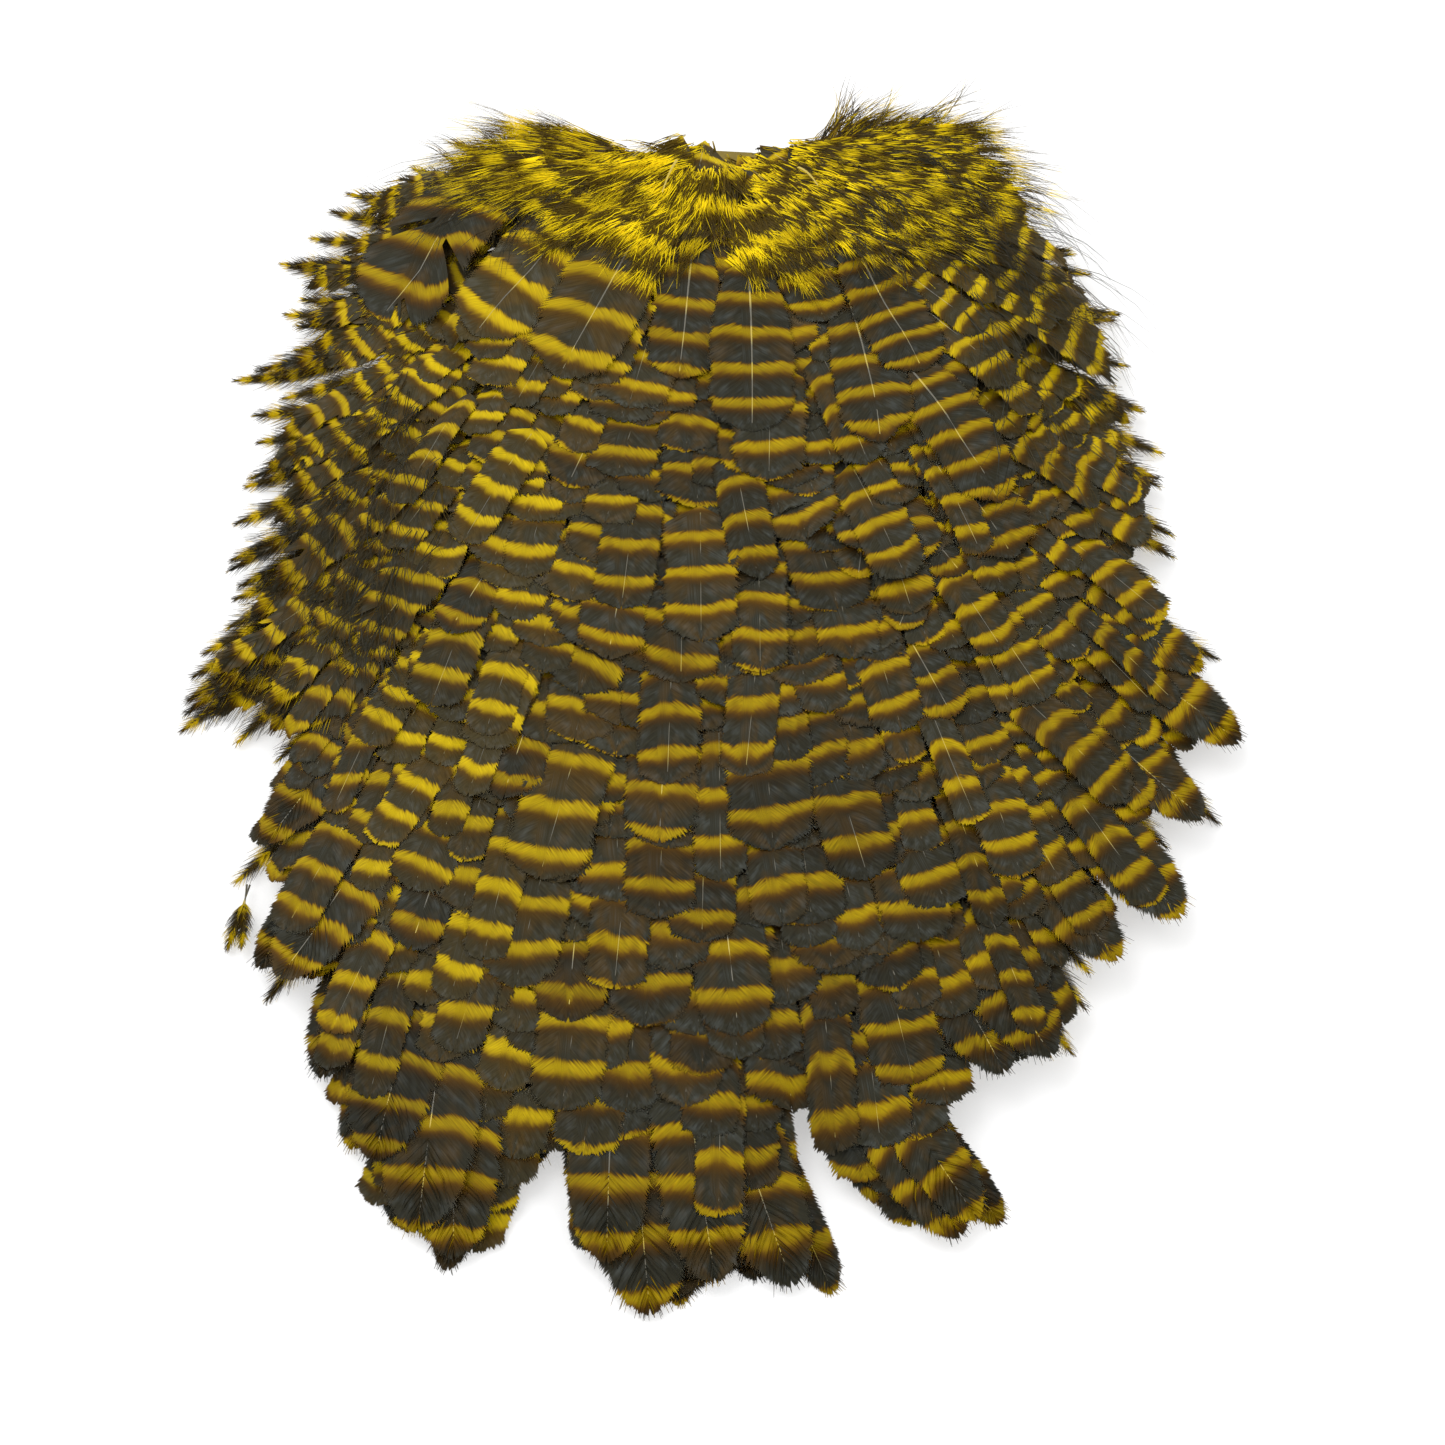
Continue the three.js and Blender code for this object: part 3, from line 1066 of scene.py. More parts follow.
@dataclass
class VaneBuilder:
    """Shapes the barbs and shaft of one feather after another.

    Attributes:
        lie: How the coat lies.
        rng: The chances in everything that is laid, always the same.
        ground: The coat as far as it has been laid.
        sheets: Sheets to choose from, for each kind of feather and fineness.
    """

    lie: Lie
    rng: np.random.Generator = field(default_factory=lambda: np.random.default_rng(7))
    ground: Ground = field(default_factory=Ground)
    sheets: dict[tuple[Plumage, bool], list[Sheet]] = field(default_factory=dict)

    ROWS = {True: 36, False: 13}  # of a fine sheet and a coarse one
    COLUMNS = {True: 10, False: 6}
    # angle of the barbs from the shaft in degrees, and how much less it is towards the tip and at it
    ANGLES = {
        Plumage.WEBBED: (57, 16, 24),
        Plumage.SPLIT: (57, 16, 24),
        Plumage.LOOSE: (38, 12, 12),
    }
    RAGGED = {True: (1.5, 0.30), False: (3, 0.10)}  # how rarely and how far a margin is worn, loose or not
    VANE_END = 0.985  # where the last barbs leave the shaft, as a share of its length
    SHAFT_END = 0.96  # where the shaft ends
    SHAFT_MM = (0.13, 0.045)  # how much thicker it is at the root, and its half-thickness at the tip
    BARB_MM = 0.085  # half-thickness of a free barb
    SHEET_MM = (0.07, 0.03)  # thickness of a sheet at the shaft, and how much less at the margin
    GAP_MM = 0.03  # between a sheet and what is under it
    EASE = {True: 4, False: 2}  # how widely a fine sheet and a coarse one bend over what is under them
    BEND_FROM = 0.72  # share of the length past which the end curls
    BEND_OVER = 0.28  # and over which it does
    BARB_APART = 400  # range of the number that sets one feather's barbs apart from another's

    def __post_init__(self) -> None:
        """Cuts a few sheets of each kind, which the feathers share."""
        for fine in (True, False):
            rows, columns = self.ROWS[fine], self.COLUMNS[fine]
            self.sheets[Plumage.WEBBED, fine] = [Sheet(rows, columns, ([], []), 0.6, 0.3)]
            self.sheets[Plumage.SPLIT, fine] = [
                Sheet(rows, columns, (self._slits(rows, 3, 5), self._slits(rows, 0, 2)), 0.22, 1.3)
                for _ in range(4)
            ]
            self.sheets[Plumage.LOOSE, fine] = [
                Sheet(rows, columns, (self._slits(rows, 0, 3), self._slits(rows, 0, 3)), 0.5, 0.6)
                for _ in range(6)
            ]
        self.shafts = {True: Rod(5, 12), False: Rod(3, 8)}
        self.barb = Rod(3, 3)
        self.strand = Rod(3, 4)

    def _slits(self, rows: int, least: int, most: int) -> list[int]:
        """Picks rows to cut, from a least number up to one less than most."""
        count = int(self.rng.integers(least, most))
        return sorted(int(r) for r in self.rng.choice(np.arange(rows // 3, rows - 4), count, replace=False))

    def _barb_tables(self, feather: Feather, rows: int) -> tuple[np.ndarray, np.ndarray, np.ndarray]:
        """Where each row's barbs leave the shaft, their angle from it and their length.

        Args:
            feather: The feather.
            rows: Number of rows.

        Returns:
            Places, angles and lengths.
        """
        u = np.linspace(0, 1, rows + 1)
        start = feather.vane_from * feather.length
        base = start + (feather.length * self.VANE_END - start) * (1.45 * u - 0.45 * u**2)
        opening, towards, at_tip = self.ANGLES[feather.kind]
        angle = np.radians(opening - towards * u - at_tip * u**6)
        low, high = np.zeros_like(u), np.full_like(u, feather.width * 1.4)
        for _ in range(30):
            length = (low + high) / 2
            wide = self._half_width(feather, base + length * np.cos(angle))
            short = length * np.sin(angle) < wide
            low, high = np.where(short, length, low), np.where(short, high, length)
        return base, angle, np.maximum(length, 0.5)

    @staticmethod
    def _half_width(feather: Feather, s: np.ndarray) -> np.ndarray:
        """Half-width of the vane at a distance from the root.

        Args:
            feather: The feather.
            s: The distance.

        Returns:
            The half-width in millimetres.
        """
        t = s / feather.length
        grow = np.clip((t - 0.1) / 0.55, 0, 1)
        body = 0.45 + 0.55 * grow**2 * (3 - 2 * grow)
        end = feather.blunt * feather.width
        round_off = np.clip((s - (feather.length - end)) / end, 0, 1)
        if feather.kind is Plumage.LOOSE:
            return feather.width / 2 * body * (1 - round_off**1.7) ** 0.8
        return feather.width / 2 * body * np.sqrt(1 - round_off**2.6)

    @classmethod
    def _tip(cls, feather: Feather, s: np.ndarray) -> np.ndarray:
        """How far a distance from the root is into the end that curls, from 0 to a little over 1."""
        return np.clip((s / feather.length - cls.BEND_FROM) / cls.BEND_OVER, 0, 1.1)

    def vane(self, batch: Batch, line: Shaftline, fine: bool, tone: float) -> tuple[np.ndarray, np.ndarray]:
        """Adds a feather's barbs as one closed sheet, laid on what is under it.

        Args:
            batch: Where they go.
            line: The feather's shaft.
            fine: Whether the sheet has more rows.
            tone: The feather's own lightness, from 0 to 1.

        Returns:
            Distances along the shaft and the height of the sheet at each.
        """
        feather = line.feather
        rng = self.rng
        choice = self.sheets[feather.kind, fine]
        sheet = choice[int(rng.integers(len(choice)))]
        base, angle, length = self._barb_tables(feather, sheet.rows)
        rows = np.arange(sheet.rows + 1)
        loose = feather.kind is Plumage.LOOSE
        power, most = self.RAGGED[loose]
        ragged = rng.uniform(0, 1, (sheet.rows + 1, 2)) ** power * most
        row = sheet.row.astype(int)
        out = np.abs(sheet.across)
        full = 1 - 0.3 * feather.fluff if loose else 1.0
        reach = np.interp(sheet.gathered, rows, length) * full * out * (1 - ragged[row, sheet.side] * out**3)
        turn = np.interp(sheet.gathered, rows, angle)
        root = np.interp(sheet.gathered, rows, base)
        s = root + reach * np.cos(turn) * (0.9 + 0.1 * out)
        across = np.sign(sheet.across) * reach * np.sin(turn)
        share = across / (feather.width / 2)
        tip = self._tip(feather, s)
        ridge = rng.normal(0, 0.03, (sheet.rows + 1, 2))[row, sheet.side] * np.sin(np.pi * np.minimum(out, 1))
        up = rng.normal(0, 0.012) * across - rng.uniform(0.04, 0.18) * share**2 + ridge
        up = up + feather.curl * tip**2
        points = line.place(s, across, up)
        at_shaft, less = self.SHEET_MM
        thick = at_shaft - less * out
        lift = self.ground.under(points[:, 0], points[:, 1]) + thick + self.GAP_MM - points[:, 2]
        points[:, 2] += sheet.eased(np.maximum(lift, 0), self.EASE[fine])
        self.ground.cover(sheet.cloud(points))
        middle = (sheet.column * 2 == sheet.columns) & (sheet.under < 0.5)
        crest = (s[middle], points[middle, 2])
        points[:, 2] -= sheet.under * thick
        droop = rng.uniform(0.0, 0.36, 2)[sheet.side] * np.abs(share) ** 3
        hook = rng.normal(0.0, 0.06) * share - droop + 0.42 * tip**2 * share**2
        jitter = rng.normal(0, 0.05 if loose else 0.015, (sheet.rows + 1, 2))[row, sheet.side] * out
        batch.add(
            points,
            sheet.triangles,
            phase=line.bar_count(s) + hook + jitter,
            barb=root + 31.0 * sheet.side + float(rng.uniform(0, self.BARB_APART)),
            span=out,
            tone=tone,
            glow=feather.glow,
        )
        first = np.argsort(crest[0])
        return crest[0][first], crest[1][first]

    def quill(self, batch: Batch, line: Shaftline, fine: bool, crest: tuple[np.ndarray, np.ndarray]) -> None:
        """Adds a feather's shaft, thick at the root and hair-fine at the tip.

        Args:
            batch: Where it goes.
            line: The feather's shaft.
            fine: Whether it has more rings.
            crest: Distances along the shaft and the height of the barbs at each.
        """
        rod = self.shafts[fine]
        share = rod.along
        s = share * line.feather.length * self.SHAFT_END
        more, least = self.SHAFT_MM
        radius = (more * (1 - share) ** 1.2 + least) * (1.2 if fine else 1.0)
        points = line.place(s, radius * rod.side, np.zeros(len(s)))
        points[:, 2] = np.where(s < crest[0][0], points[:, 2], np.interp(s, *crest))
        points[:, 2] += radius * (rod.up * 0.8 + 0.45)
        batch.add(points, rod.triangles, phase=line.bar_count(s))

    def strands(self, batch: Batch, line: Shaftline, count: int, first: float, tone: float) -> None:
        """Adds free barbs along both margins of a feather.

        Args:
            batch: Where they go.
            line: The feather's shaft.
            count: Number of barbs on each side.
            first: Where the lowest grows, as a share of the vane.
            tone: The feather's own lightness.
        """
        feather = line.feather
        rod, rng = self.barb, self.rng
        n = 2 * count
        side = np.repeat([-1.0, 1.0], count)
        base, opening, length = self._barb_tables(feather, 40)
        row = np.tile(np.linspace(1 + 38 * first, 39.5, count), 2) + rng.normal(0, 0.4, n)
        root = np.interp(row, np.arange(41), base)
        lock = np.floor(np.arange(n) / int(rng.integers(4, 7))).astype(int)
        pull = rng.normal(0, 0.05 + 0.08 * feather.fluff, lock.max() + 1)[lock]
        angle = np.interp(row, np.arange(41), opening) + pull + rng.normal(0, 0.03, n)
        most = 1.12 + 0.3 * feather.fluff
        size = np.interp(row, np.arange(41), length) * rng.uniform(0.92, most, n) + 0.3 + 0.5 * feather.fluff
        arch = rng.uniform(0.0, 0.12 + 0.7 * feather.fluff, n)
        wave = rng.normal(0, 0.05 + 0.25 * feather.fluff, n)
        jitter = rng.normal(0, 0.05 + 0.08 * feather.fluff, n)
        q = rod.along[None, :]
        turn = angle[:, None] * (1.05 - (0.35 - 0.2 * feather.fluff) * q)
        s = root[:, None] + size[:, None] * q * np.cos(turn)
        across = side[:, None] * size[:, None] * q * np.sin(turn) + wave[:, None] * q**2
        thick = self.BARB_MM * (1 - 0.7 * q)
        s = s - thick * rod.side[None, :] * side[:, None] * np.sin(turn)
        across = across + thick * rod.side[None, :] * np.cos(turn)
        tip = self._tip(feather, s)
        up = 0.04 + arch[:, None] * np.sin(np.pi * q * 0.8) + feather.curl * tip**2 - 0.25 * q**2
        points = line.place(s.ravel(), across.ravel(), up.ravel())
        points[:, 2] = np.maximum(points[:, 2], self.ground.under(points[:, 0], points[:, 1]) + 0.04)
        points[:, 2] += np.broadcast_to(thick * rod.up[None, :], s.shape).ravel()
        phase = line.bar_count(s.ravel()) + np.repeat(jitter, len(rod.along))
        self._add_rods(batch, rod, points, phase, n, tone, feather.glow)

    def _add_rods(
        self, batch: Batch, rod: Rod, points: np.ndarray, phase: np.ndarray, n: int, tone: float, glow: float
    ) -> None:
        """Adds many strands that share the rod's triangles.

        Args:
            batch: Where they go.
            rod: The shape of each.
            points: Points of them all.
            phase: Which bar each point is in.
            n: Number of strands.
            tone: Their lightness.
            glow: How much of the dye shows, partly as painted light.
        """
        each = len(rod.along)
        triangles = (rod.triangles[None, :, :] + (np.arange(n) * each)[:, None, None]).reshape(-1, 3)
        batch.add(
            points,
            triangles,
            phase=phase,
            barb=np.repeat(self.rng.uniform(0, self.BARB_APART, n), each),
            span=np.broadcast_to(rod.along, (n, each)).ravel(),
            tone=tone,
            glow=glow,
        )

    def tuft(
        self, batch: Batch, root: tuple[float, ...], heading: float, tuft: Tuft, shift: float, glow: float
    ) -> None:
        """Adds one lock of down, its strands rooted together and running to one point.

        Args:
            batch: Where it goes.
            root: Place and height of its root.
            heading: Direction that it points in, in radians.
            tuft: Its size and spread.
            shift: How far its bars are off the coat's, in bars.
            glow: How much of the dye shows, partly as painted light.
        """
        rod, rng, n = self.strand, self.rng, tuft.strands
        x, y, base = root
        q = rod.along[None, :]
        size = tuft.length * rng.uniform(0.72, 1.12, n)[:, None]
        ring = rng.uniform(-1, 1, n)[:, None] * tuft.spread
        back = rng.uniform(-1, 1, n)[:, None] * tuft.spread * 1.3
        lean = rng.normal(0, tuft.stray, n)[:, None]
        bend = -math.copysign(1.0, heading) * rng.normal(tuft.bend, 0.05, n)[:, None]
        turn = heading + lean * q + bend * q
        ahead = back + size * q
        aside = ring * (1 - tuft.gather * q**1.3) + size * np.sin(lean * q) * 0.5
        thick = tuft.thick * (1 - 0.8 * q)
        aside = aside + thick * rod.side[None, :]
        px = x + ahead * np.sin(turn) - aside * np.cos(turn)
        py = y - ahead * np.cos(turn) - aside * np.sin(turn)
        rise = self.lie.slope(px, py) - self.lie.slope(x, y)
        arch = tuft.arch * rng.uniform(0.5, 1.2, n)[:, None]
        z = base + rise + 0.35 * rng.uniform(-1, 1, n)[:, None] + thick * rod.up[None, :]
        z = z + arch * np.sin(np.pi * np.clip(q * 0.85, 0, 1)) - tuft.fall * q**2
        z = np.maximum(z, self.ground.under(px, py) + 0.1 + thick * rod.up[None, :])
        points = np.stack([px, py, z], axis=-1).reshape(-1, 3)
        phase = self.lie.from_neck(px, py) / tuft.pitch
        apart = rng.normal(0, 0.05, n) + np.where(rng.uniform(size=n) < tuft.brindle, 0.5, 0.0)
        phase = (phase + shift + apart[:, None]).ravel()
        self._add_rods(batch, rod, points, phase, n, float(rng.uniform()), glow)


@dataclass(frozen=True)
class BareQuills:
    """Pale shafts at the neck that have lost their barbs.

    Attributes:
        rows: Root x and y, end x and y, height above the coat and half-thickness of each.
    """

    rows: Rows = (
        (-4.5, 78.6, -14.5, 66.6, 4.8, 0.27),
        (-0.6, 78.0, -1.4, 71.6, 4.6, 0.28),
        (-6.5, 67.0, -8.5, 61.0, 4.0, 0.21),
        (10.8, 66.5, 13.5, 62.0, 4.0, 0.22),
        (-30.5, 76.5, -44.5, 59.0, 0.3, 0.13),
    )

    BOW_MM = 0.8
    STANDING_MM = 1.0  # a quill less high than this follows the coat

    def dress(self, builder: VaneBuilder, horn: bpy.types.Material) -> None:
        """Builds the quills as one piece.

        Args:
            builder: Has the coat as it was laid.
            horn: Their finish.
        """
        rod = builder.shafts[True]
        batch = Batch()
        for x0, y0, x1, y1, height, radius in self.rows:
            q = rod.along
            way = math.atan2(x1 - x0, y0 - y1)
            side = radius * (1 - 0.6 * q) * rod.side
            x = x0 + (x1 - x0) * q + side * math.cos(way)
            y = y0 + (y1 - y0) * q + side * math.sin(way)
            foot, end = float(builder.ground.under(x0, y0)), float(builder.ground.under(x1, y1))
            chord = foot + (end - foot) * q + self.BOW_MM * np.sin(np.pi * q)
            base = chord if height > self.STANDING_MM else builder.ground.under(x, y)
            z = height + base + radius * (1 - 0.6 * q) * rod.up
            batch.add(np.stack([x, y, z], axis=-1), rod.triangles, phase=0.15)
        piece = batch.make("bare_quills", horn)
        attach(piece, "root")


# Tip x, tip y, heading, length and width of each feather, tract by tract
FLANK_LEFT = (
    (-26.8, 85, -117, 22, 14.7), (-40.5, 84.8, -124, 37, 21), (-56.1, 75.1, -111, 42, 22.1),
    (-63.4, 63.4, -103, 42, 18.9), (-62.2, 51.4, -99, 38, 18.9), (-67.4, 43, -83, 43, 16.8),
    (-66.7, 23.9, -71, 44, 21), (-68.1, 8.2, -63, 48, 22), (-72.2, -14.4, -51, 54, 25.2),
)
HIP_LEFT = (
    (-59.1, -35.2, -42, 54.7, 14.7), (-58.7, -52.1, -31, 50.7, 9.5), (-55.8, -54.3, -37, 56.7, 18.9),
)
TAIL = (
    (-42.4, -78.1, -11, 60.7, 17.9), (-36.8, -86.7, -5, 62.7, 18.9), (-32.3, -89.7, 2, 60.7, 17.9),
    (-13.9, -90.7, -1, 60.7, 15.8), (-8.6, -96.5, 6, 63.7, 18.9), (-0.8, -93, 9, 60.7, 15.8),
    (8.5, -93.2, 20, 62.7, 15.8), (28.8, -87.2, 33, 60.7, 13.6), (30.9, -85.2, 35, 58.7, 11.6),
)
HIP_RIGHT = (
    (34.8, -67.5, 27, 53.6, 15.8), (40.8, -65.3, 34, 55.6, 15.8), (49.8, -52.4, 41, 55.6, 13.7),
    (58.5, -45.7, 43, 57.6, 16.8), (62.4, -31.6, 49, 55.6, 13.7), (68.4, -19.6, 53, 57.6, 15.8),
    (64.4, -8.7, 61, 53.6, 12.6),
)
FLANK_RIGHT = (
    (60.9, 10, 63, 48, 16.8), (61, 21.9, 69, 45, 18.9), (59.1, 33.9, 77, 43, 21),
    (57, 50.3, 93, 43, 18.7), (51.6, 62, 100, 40, 19.9), (42.8, 75.8, 113, 40, 21),
    (33.3, 85.6, 132, 35, 18.9), (21.9, 89.1, 134, 23, 12.6),
)
RUMP = (
    (-39, -52, -16, 58, 20), (-19, -62, -3, 60, 20), (2, -64, 6, 60, 20), (22, -58, 18, 58, 20),
    (39, -36, 34, 56, 19),
)
BACK = (
    (-48, -24, -34, 54, 19), (-28, -32, -14, 58, 20), (-8, -38, -2, 60, 20), (13, -36, 9, 58, 20),
    (30, -20, 24, 56, 19), (48, -10, 48, 52, 18),
)
SADDLE = (
    (-36, -8, -26, 54, 19), (-15, -12, -8, 56, 20), (5, -14, 4, 56, 20), (22, -2, 18, 52, 19),
    (42, 14, 54, 46, 18),
)
CAPE = ((-44, 20, -54, 42, 18), (-21, 14, -20, 46, 20), (4, 16, 3, 46, 19), (29, 22, 36, 42, 19))
CROWN = ((-32, 46, -60, 28, 20), (-5, 46, -4, 34, 24), (24, 50, 50, 28, 20))
MARGIN_LEFT = (
    (-48.6, 79.5, -118, 25.1, 8), (-58.8, 74.2, -112, 27.1, 8.4), (-61.4, 69, -103, 27.1, 7.4),
    (-65.5, 64.1, -102, 27.1, 7.4), (-64.2, 54.6, -95, 26.1, 7.4), (-62.2, 47.8, -87, 26.1, 7.4),
    (-67.4, 42.8, -81, 31.1, 6.3), (-67.2, 36.3, -84, 27.1, 8.4), (-66.3, 31.6, -82, 27.1, 8.4),
    (-64.4, 28, -78, 27.1, 8.4), (-67.4, 23.9, -72, 27.1, 8.4), (-68.3, 17.6, -66, 29.1, 9.4),
    (-68.3, 11.5, -64, 29.1, 8.4), (-67.3, 5, -62, 29.1, 9.5), (-67.9, 0.3, -58, 29.1, 8.4),
    (-70.8, -3.7, -60, 31.1, 8.4), (-71.9, -7.4, -57, 29.1, 7), (-72.3, -11.2, -53, 33.1, 9.5),
    (-72.6, -15.9, -48, 33.1, 8.4), (-64.9, -18.1, -43, 31.1, 9.5), (-59, -21.8, -42, 29.1, 9.4),
    (-63.4, -38.6, -48, 35.1, 7.4), (-63.2, -48, -14, 9, 3.6), (-61.3, -48.2, 2, 9, 3.2),
    (-70.6, 42.5, -84, 31.1, 5), (-58, -55.3, -34, 31.1, 7),
    (-46.8, 81, -121, 24, 6.4), (-62, 57.4, -98, 26, 6.4), (-63.4, 39.2, -81, 27, 6.4),
    (-66.8, 7.2, -62, 27, 6.4),
)
MARGIN_RIGHT = (
    (45, 71.8, 103, 27.3, 7.4), (51.3, 64.2, 98, 27.3, 7.4), (53.9, 59.7, 89, 27.3, 7.4),
    (58.1, 53.5, 90, 27.3, 3.2), (58.4, 43.6, 80, 27.3, 7.4), (60.2, 35.7, 76, 27.3, 7.4),
    (62.4, 29.2, 72, 27.3, 7.4), (61.5, 22.8, 66, 29.3, 8.4), (62.7, 14.6, 62, 29.3, 8.4),
    (62.5, 11.2, 57, 29.3, 7.4), (59.2, 1.1, 58, 31.3, 8.4), (67.5, -4.5, 65, 33.3, 6.3),
    (67.5, -11.3, 58, 29.3, 6.3), (65.3, -30.1, 46, 35.3, 6.6), (63.3, -9.8, 56, 33.3, 8.4),
    (56.9, -22.9, 50, 35.3, 9.5), (57.8, -34.9, 46, 35.3, 9.5), (57, -39.9, 44, 35.3, 9.5),
    (45.7, -58.2, 38, 39.3, 7.4), (43.7, -63.9, 35, 37.3, 6.8), (47, -51.1, 41, 39.3, 9.5),
    (59.6, 6.4, 58, 29.3, 7.4), (46.4, -53.4, 39, 37, 7),
)
MARGIN_TAIL = (
    (-52.5, -53.7, -30, 45, 10.5), (-49.6, -66.8, -15, 49, 10.5), (-45.4, -75.6, -11, 45, 7.4),
    (-39.5, -85.1, -8, 47, 7.4), (-33.1, -90.7, -2, 47, 6.3), (-28.6, -86, 6, 45, 8.4),
    (-22.9, -78.2, 8, 41, 10.5), (-16, -84.7, -1, 43, 8.4), (-5, -95, 8, 45, 8.4),
    (4.3, -91.8, 13, 45, 9.5), (13.4, -93.5, 24, 47, 6.4), (26, -81.8, 34, 43, 6.4),
    (34, -84.7, 37, 43, 6.4), (26.4, -77.3, 31, 41, 8.4), (20.6, -83.2, 31, 45, 6.4),
)

# The outline that the coverts stay inside, down the left side from the neck and up the right
OUTLINE = (
    (-36, 84), (-44, 80), (-50, 77), (-54, 72), (-56.6, 68.5), (-60.7, 64.4), (-61.8, 57.9), (-59.8, 51.8),
    (-58.8, 46.1), (-60.8, 42.2), (-60.8, 37.2), (-62.8, 32.2), (-63.8, 26.1), (-63.8, 19.9), (-62.8, 15),
    (-63.8, 8), (-62.8, 3.2), (-66.7, -1.6), (-68.8, -7.9), (-68.7, -14.4), (-62.3, -17.8), (-56.5, -18.6),
    (-56.8, -21.8), (-58.7, -26.7), (-60.8, -30.8), (-61.3, -36.7), (-57.7, -41.8), (-56.8, -46),
    (-57.8, -52.2), (-54, -54.8), (-50.6, -52.6), (-50.8, -58.1), (-48.8, -66.2), (-46.8, -75.3),
    (-42.6, -83.5), (-36.4, -88.7), (-30.7, -89.7), (-25.3, -84.4), (-21.3, -75.3), (-20.8, -70.7),
    (-20.3, -76.1), (-18.8, -84.3), (-14.6, -91.5), (-9.2, -96.3), (-3.6, -93.7), (0.3, -90.8),
    (4.7, -90.7), (8.7, -94.7), (13.6, -93.5), (14.3, -88.7), (9.7, -80.7), (6.8, -72.8), (5.6, -69.8),
    (8.9, -73.1), (14.4, -78.6), (19.5, -83.6), (24.9, -87.8), (31.4, -85.7), (33.8, -81.8), (29.7, -74.7),
    (26.7, -66.7), (24.1, -62.6), (27.7, -65.8), (34.1, -66.3), (39.5, -64.7), (42.7, -60.3), (42.7, -56.4),
    (44.8, -56.1), (43.8, -50.1), (45, -49.8), (48.5, -50.6), (49.7, -46.4), (52.2, -44.8), (57.4, -44.7),
    (58.8, -39.9), (56.8, -34.8), (55.7, -30.4), (59.1, -29.8), (63.8, -29.2), (60.7, -23.5), (56.7, -19.3),
    (62.1, -19.8), (66.7, -18.4), (65.6, -13.5), (60.6, -9.5), (60.6, -8.5), (63.7, -6.4), (60.4, -2.4),
    (59.7, 2.4), (58.8, 7.9), (60.8, 10), (58.8, 16.1), (59.8, 22), (58.8, 30.1), (57.8, 38.2),
    (55.8, 44.2), (53.8, 52.3), (50.7, 58.4), (47.7, 64.4), (44, 70), (42, 78), (36, 84), (28, 87),
    (19, 88), (12, 82), (4, 79), (-4, 80), (-12, 83), (-20, 86), (-28, 87),
)


@dataclass
class Growth:
    """One feather that waits to be laid.

    Attributes:
        line: Its shaft.
        fine: Whether its sheet has more rows.
        strands: Number of free barbs on each side.
        first: Where the lowest of them grows, as a share of the vane.
        barbs: Where its barbs go.
        shaft: Where its shaft goes.
        tone: Its own lightness, from 0 to 1.
    """

    line: Shaftline
    fine: bool
    strands: int
    first: float
    barbs: Batch
    shaft: Batch
    tone: float


@dataclass
class Coat:
    """Lays the feathers one upon the other, the lowest first, and makes the pieces.

    Attributes:
        builder: Shapes the feathers.
        horn: The finish of the shafts.
        growths: The feathers that wait to be laid.
        pieces: Name, contents, finish, slot and node of each piece that they will make.
    """

    builder: VaneBuilder
    horn: bpy.types.Material
    growths: list[Growth] = field(default_factory=list)
    pieces: list[tuple[str, Batch, bpy.types.Material, str, str]] = field(default_factory=list)

    LOOSE_PITCH = 0.92  # how close a loose feather's bars are, compared to a webbed one's
    WEBBED_FIRST = 0.7  # where the free barbs of a webbed feather begin, as a share of the vane

    def group(
        self, name: str, vane: bpy.types.Material, slot: str, node: str = "", ending: str = "shafts"
    ) -> tuple[Batch, Batch]:
        """Starts two pieces, one of barbs and one of shafts.

        Args:
            name: Name that both pieces begin with.
            vane: The finish of the barbs.
            slot: Name of a material slot, kept with the pieces but not used.
            node: The solid that the barbs take the place of, if any.
            ending: Word that ends the name of the shafts.

        Returns:
            Where the barbs go and where the shafts go.
        """
        barbs, shafts = Batch(), Batch()
        self.pieces.append((f"{name}_barbs", barbs, vane, slot, node))
        self.pieces.append((f"{name}_{ending}", shafts, self.horn, slot, ""))
        return barbs, shafts

    def grow(
        self, line: Shaftline, fine: bool, strands: int, barbs: Batch, shaft: Batch, first: float = 0.0
    ) -> None:
        """Adds a feather to those that wait, a little paler towards the left and the neck.

        Args:
            line: Its shaft.
            fine: Whether its sheet has more rows.
            strands: Number of free barbs on each side.
            barbs: Where its barbs go.
            shaft: Where its shaft goes.
            first: Where the lowest free barb of a loose feather grows, as a share of the vane.
        """
        rng = self.builder.rng
        loose = line.feather.kind is Plumage.LOOSE
        line.pitch *= (self.LOOSE_PITCH if loose else 1.0) * rng.uniform(0.9, 1.08)
        paler = line.feather.tip_y / 160 - line.feather.tip_x / 1200 + 0.15
        first = first if loose else self.WEBBED_FIRST
        self.growths.append(Growth(line, fine, strands, first, barbs, shaft, rng.uniform() + paler))

    def lay(self) -> None:
        """Shapes every feather on top of those below it, then makes the pieces."""
        for growth in sorted(self.growths, key=lambda growth: -growth.line.order()):
            crest = self.builder.vane(growth.barbs, growth.line, growth.fine, growth.tone)
            if growth.strands:
                self.builder.strands(growth.barbs, growth.line, growth.strands, growth.first, growth.tone)
            self.builder.quill(growth.shaft, growth.line, growth.fine, crest)
        for name, batch, material, slot, node in self.pieces:
            piece = batch.make(name, material)
            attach(piece, "root")
            if node:
                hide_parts(node)
        LOG.info("coat: %d feathers in %d pieces", len(self.growths), len(self.pieces))


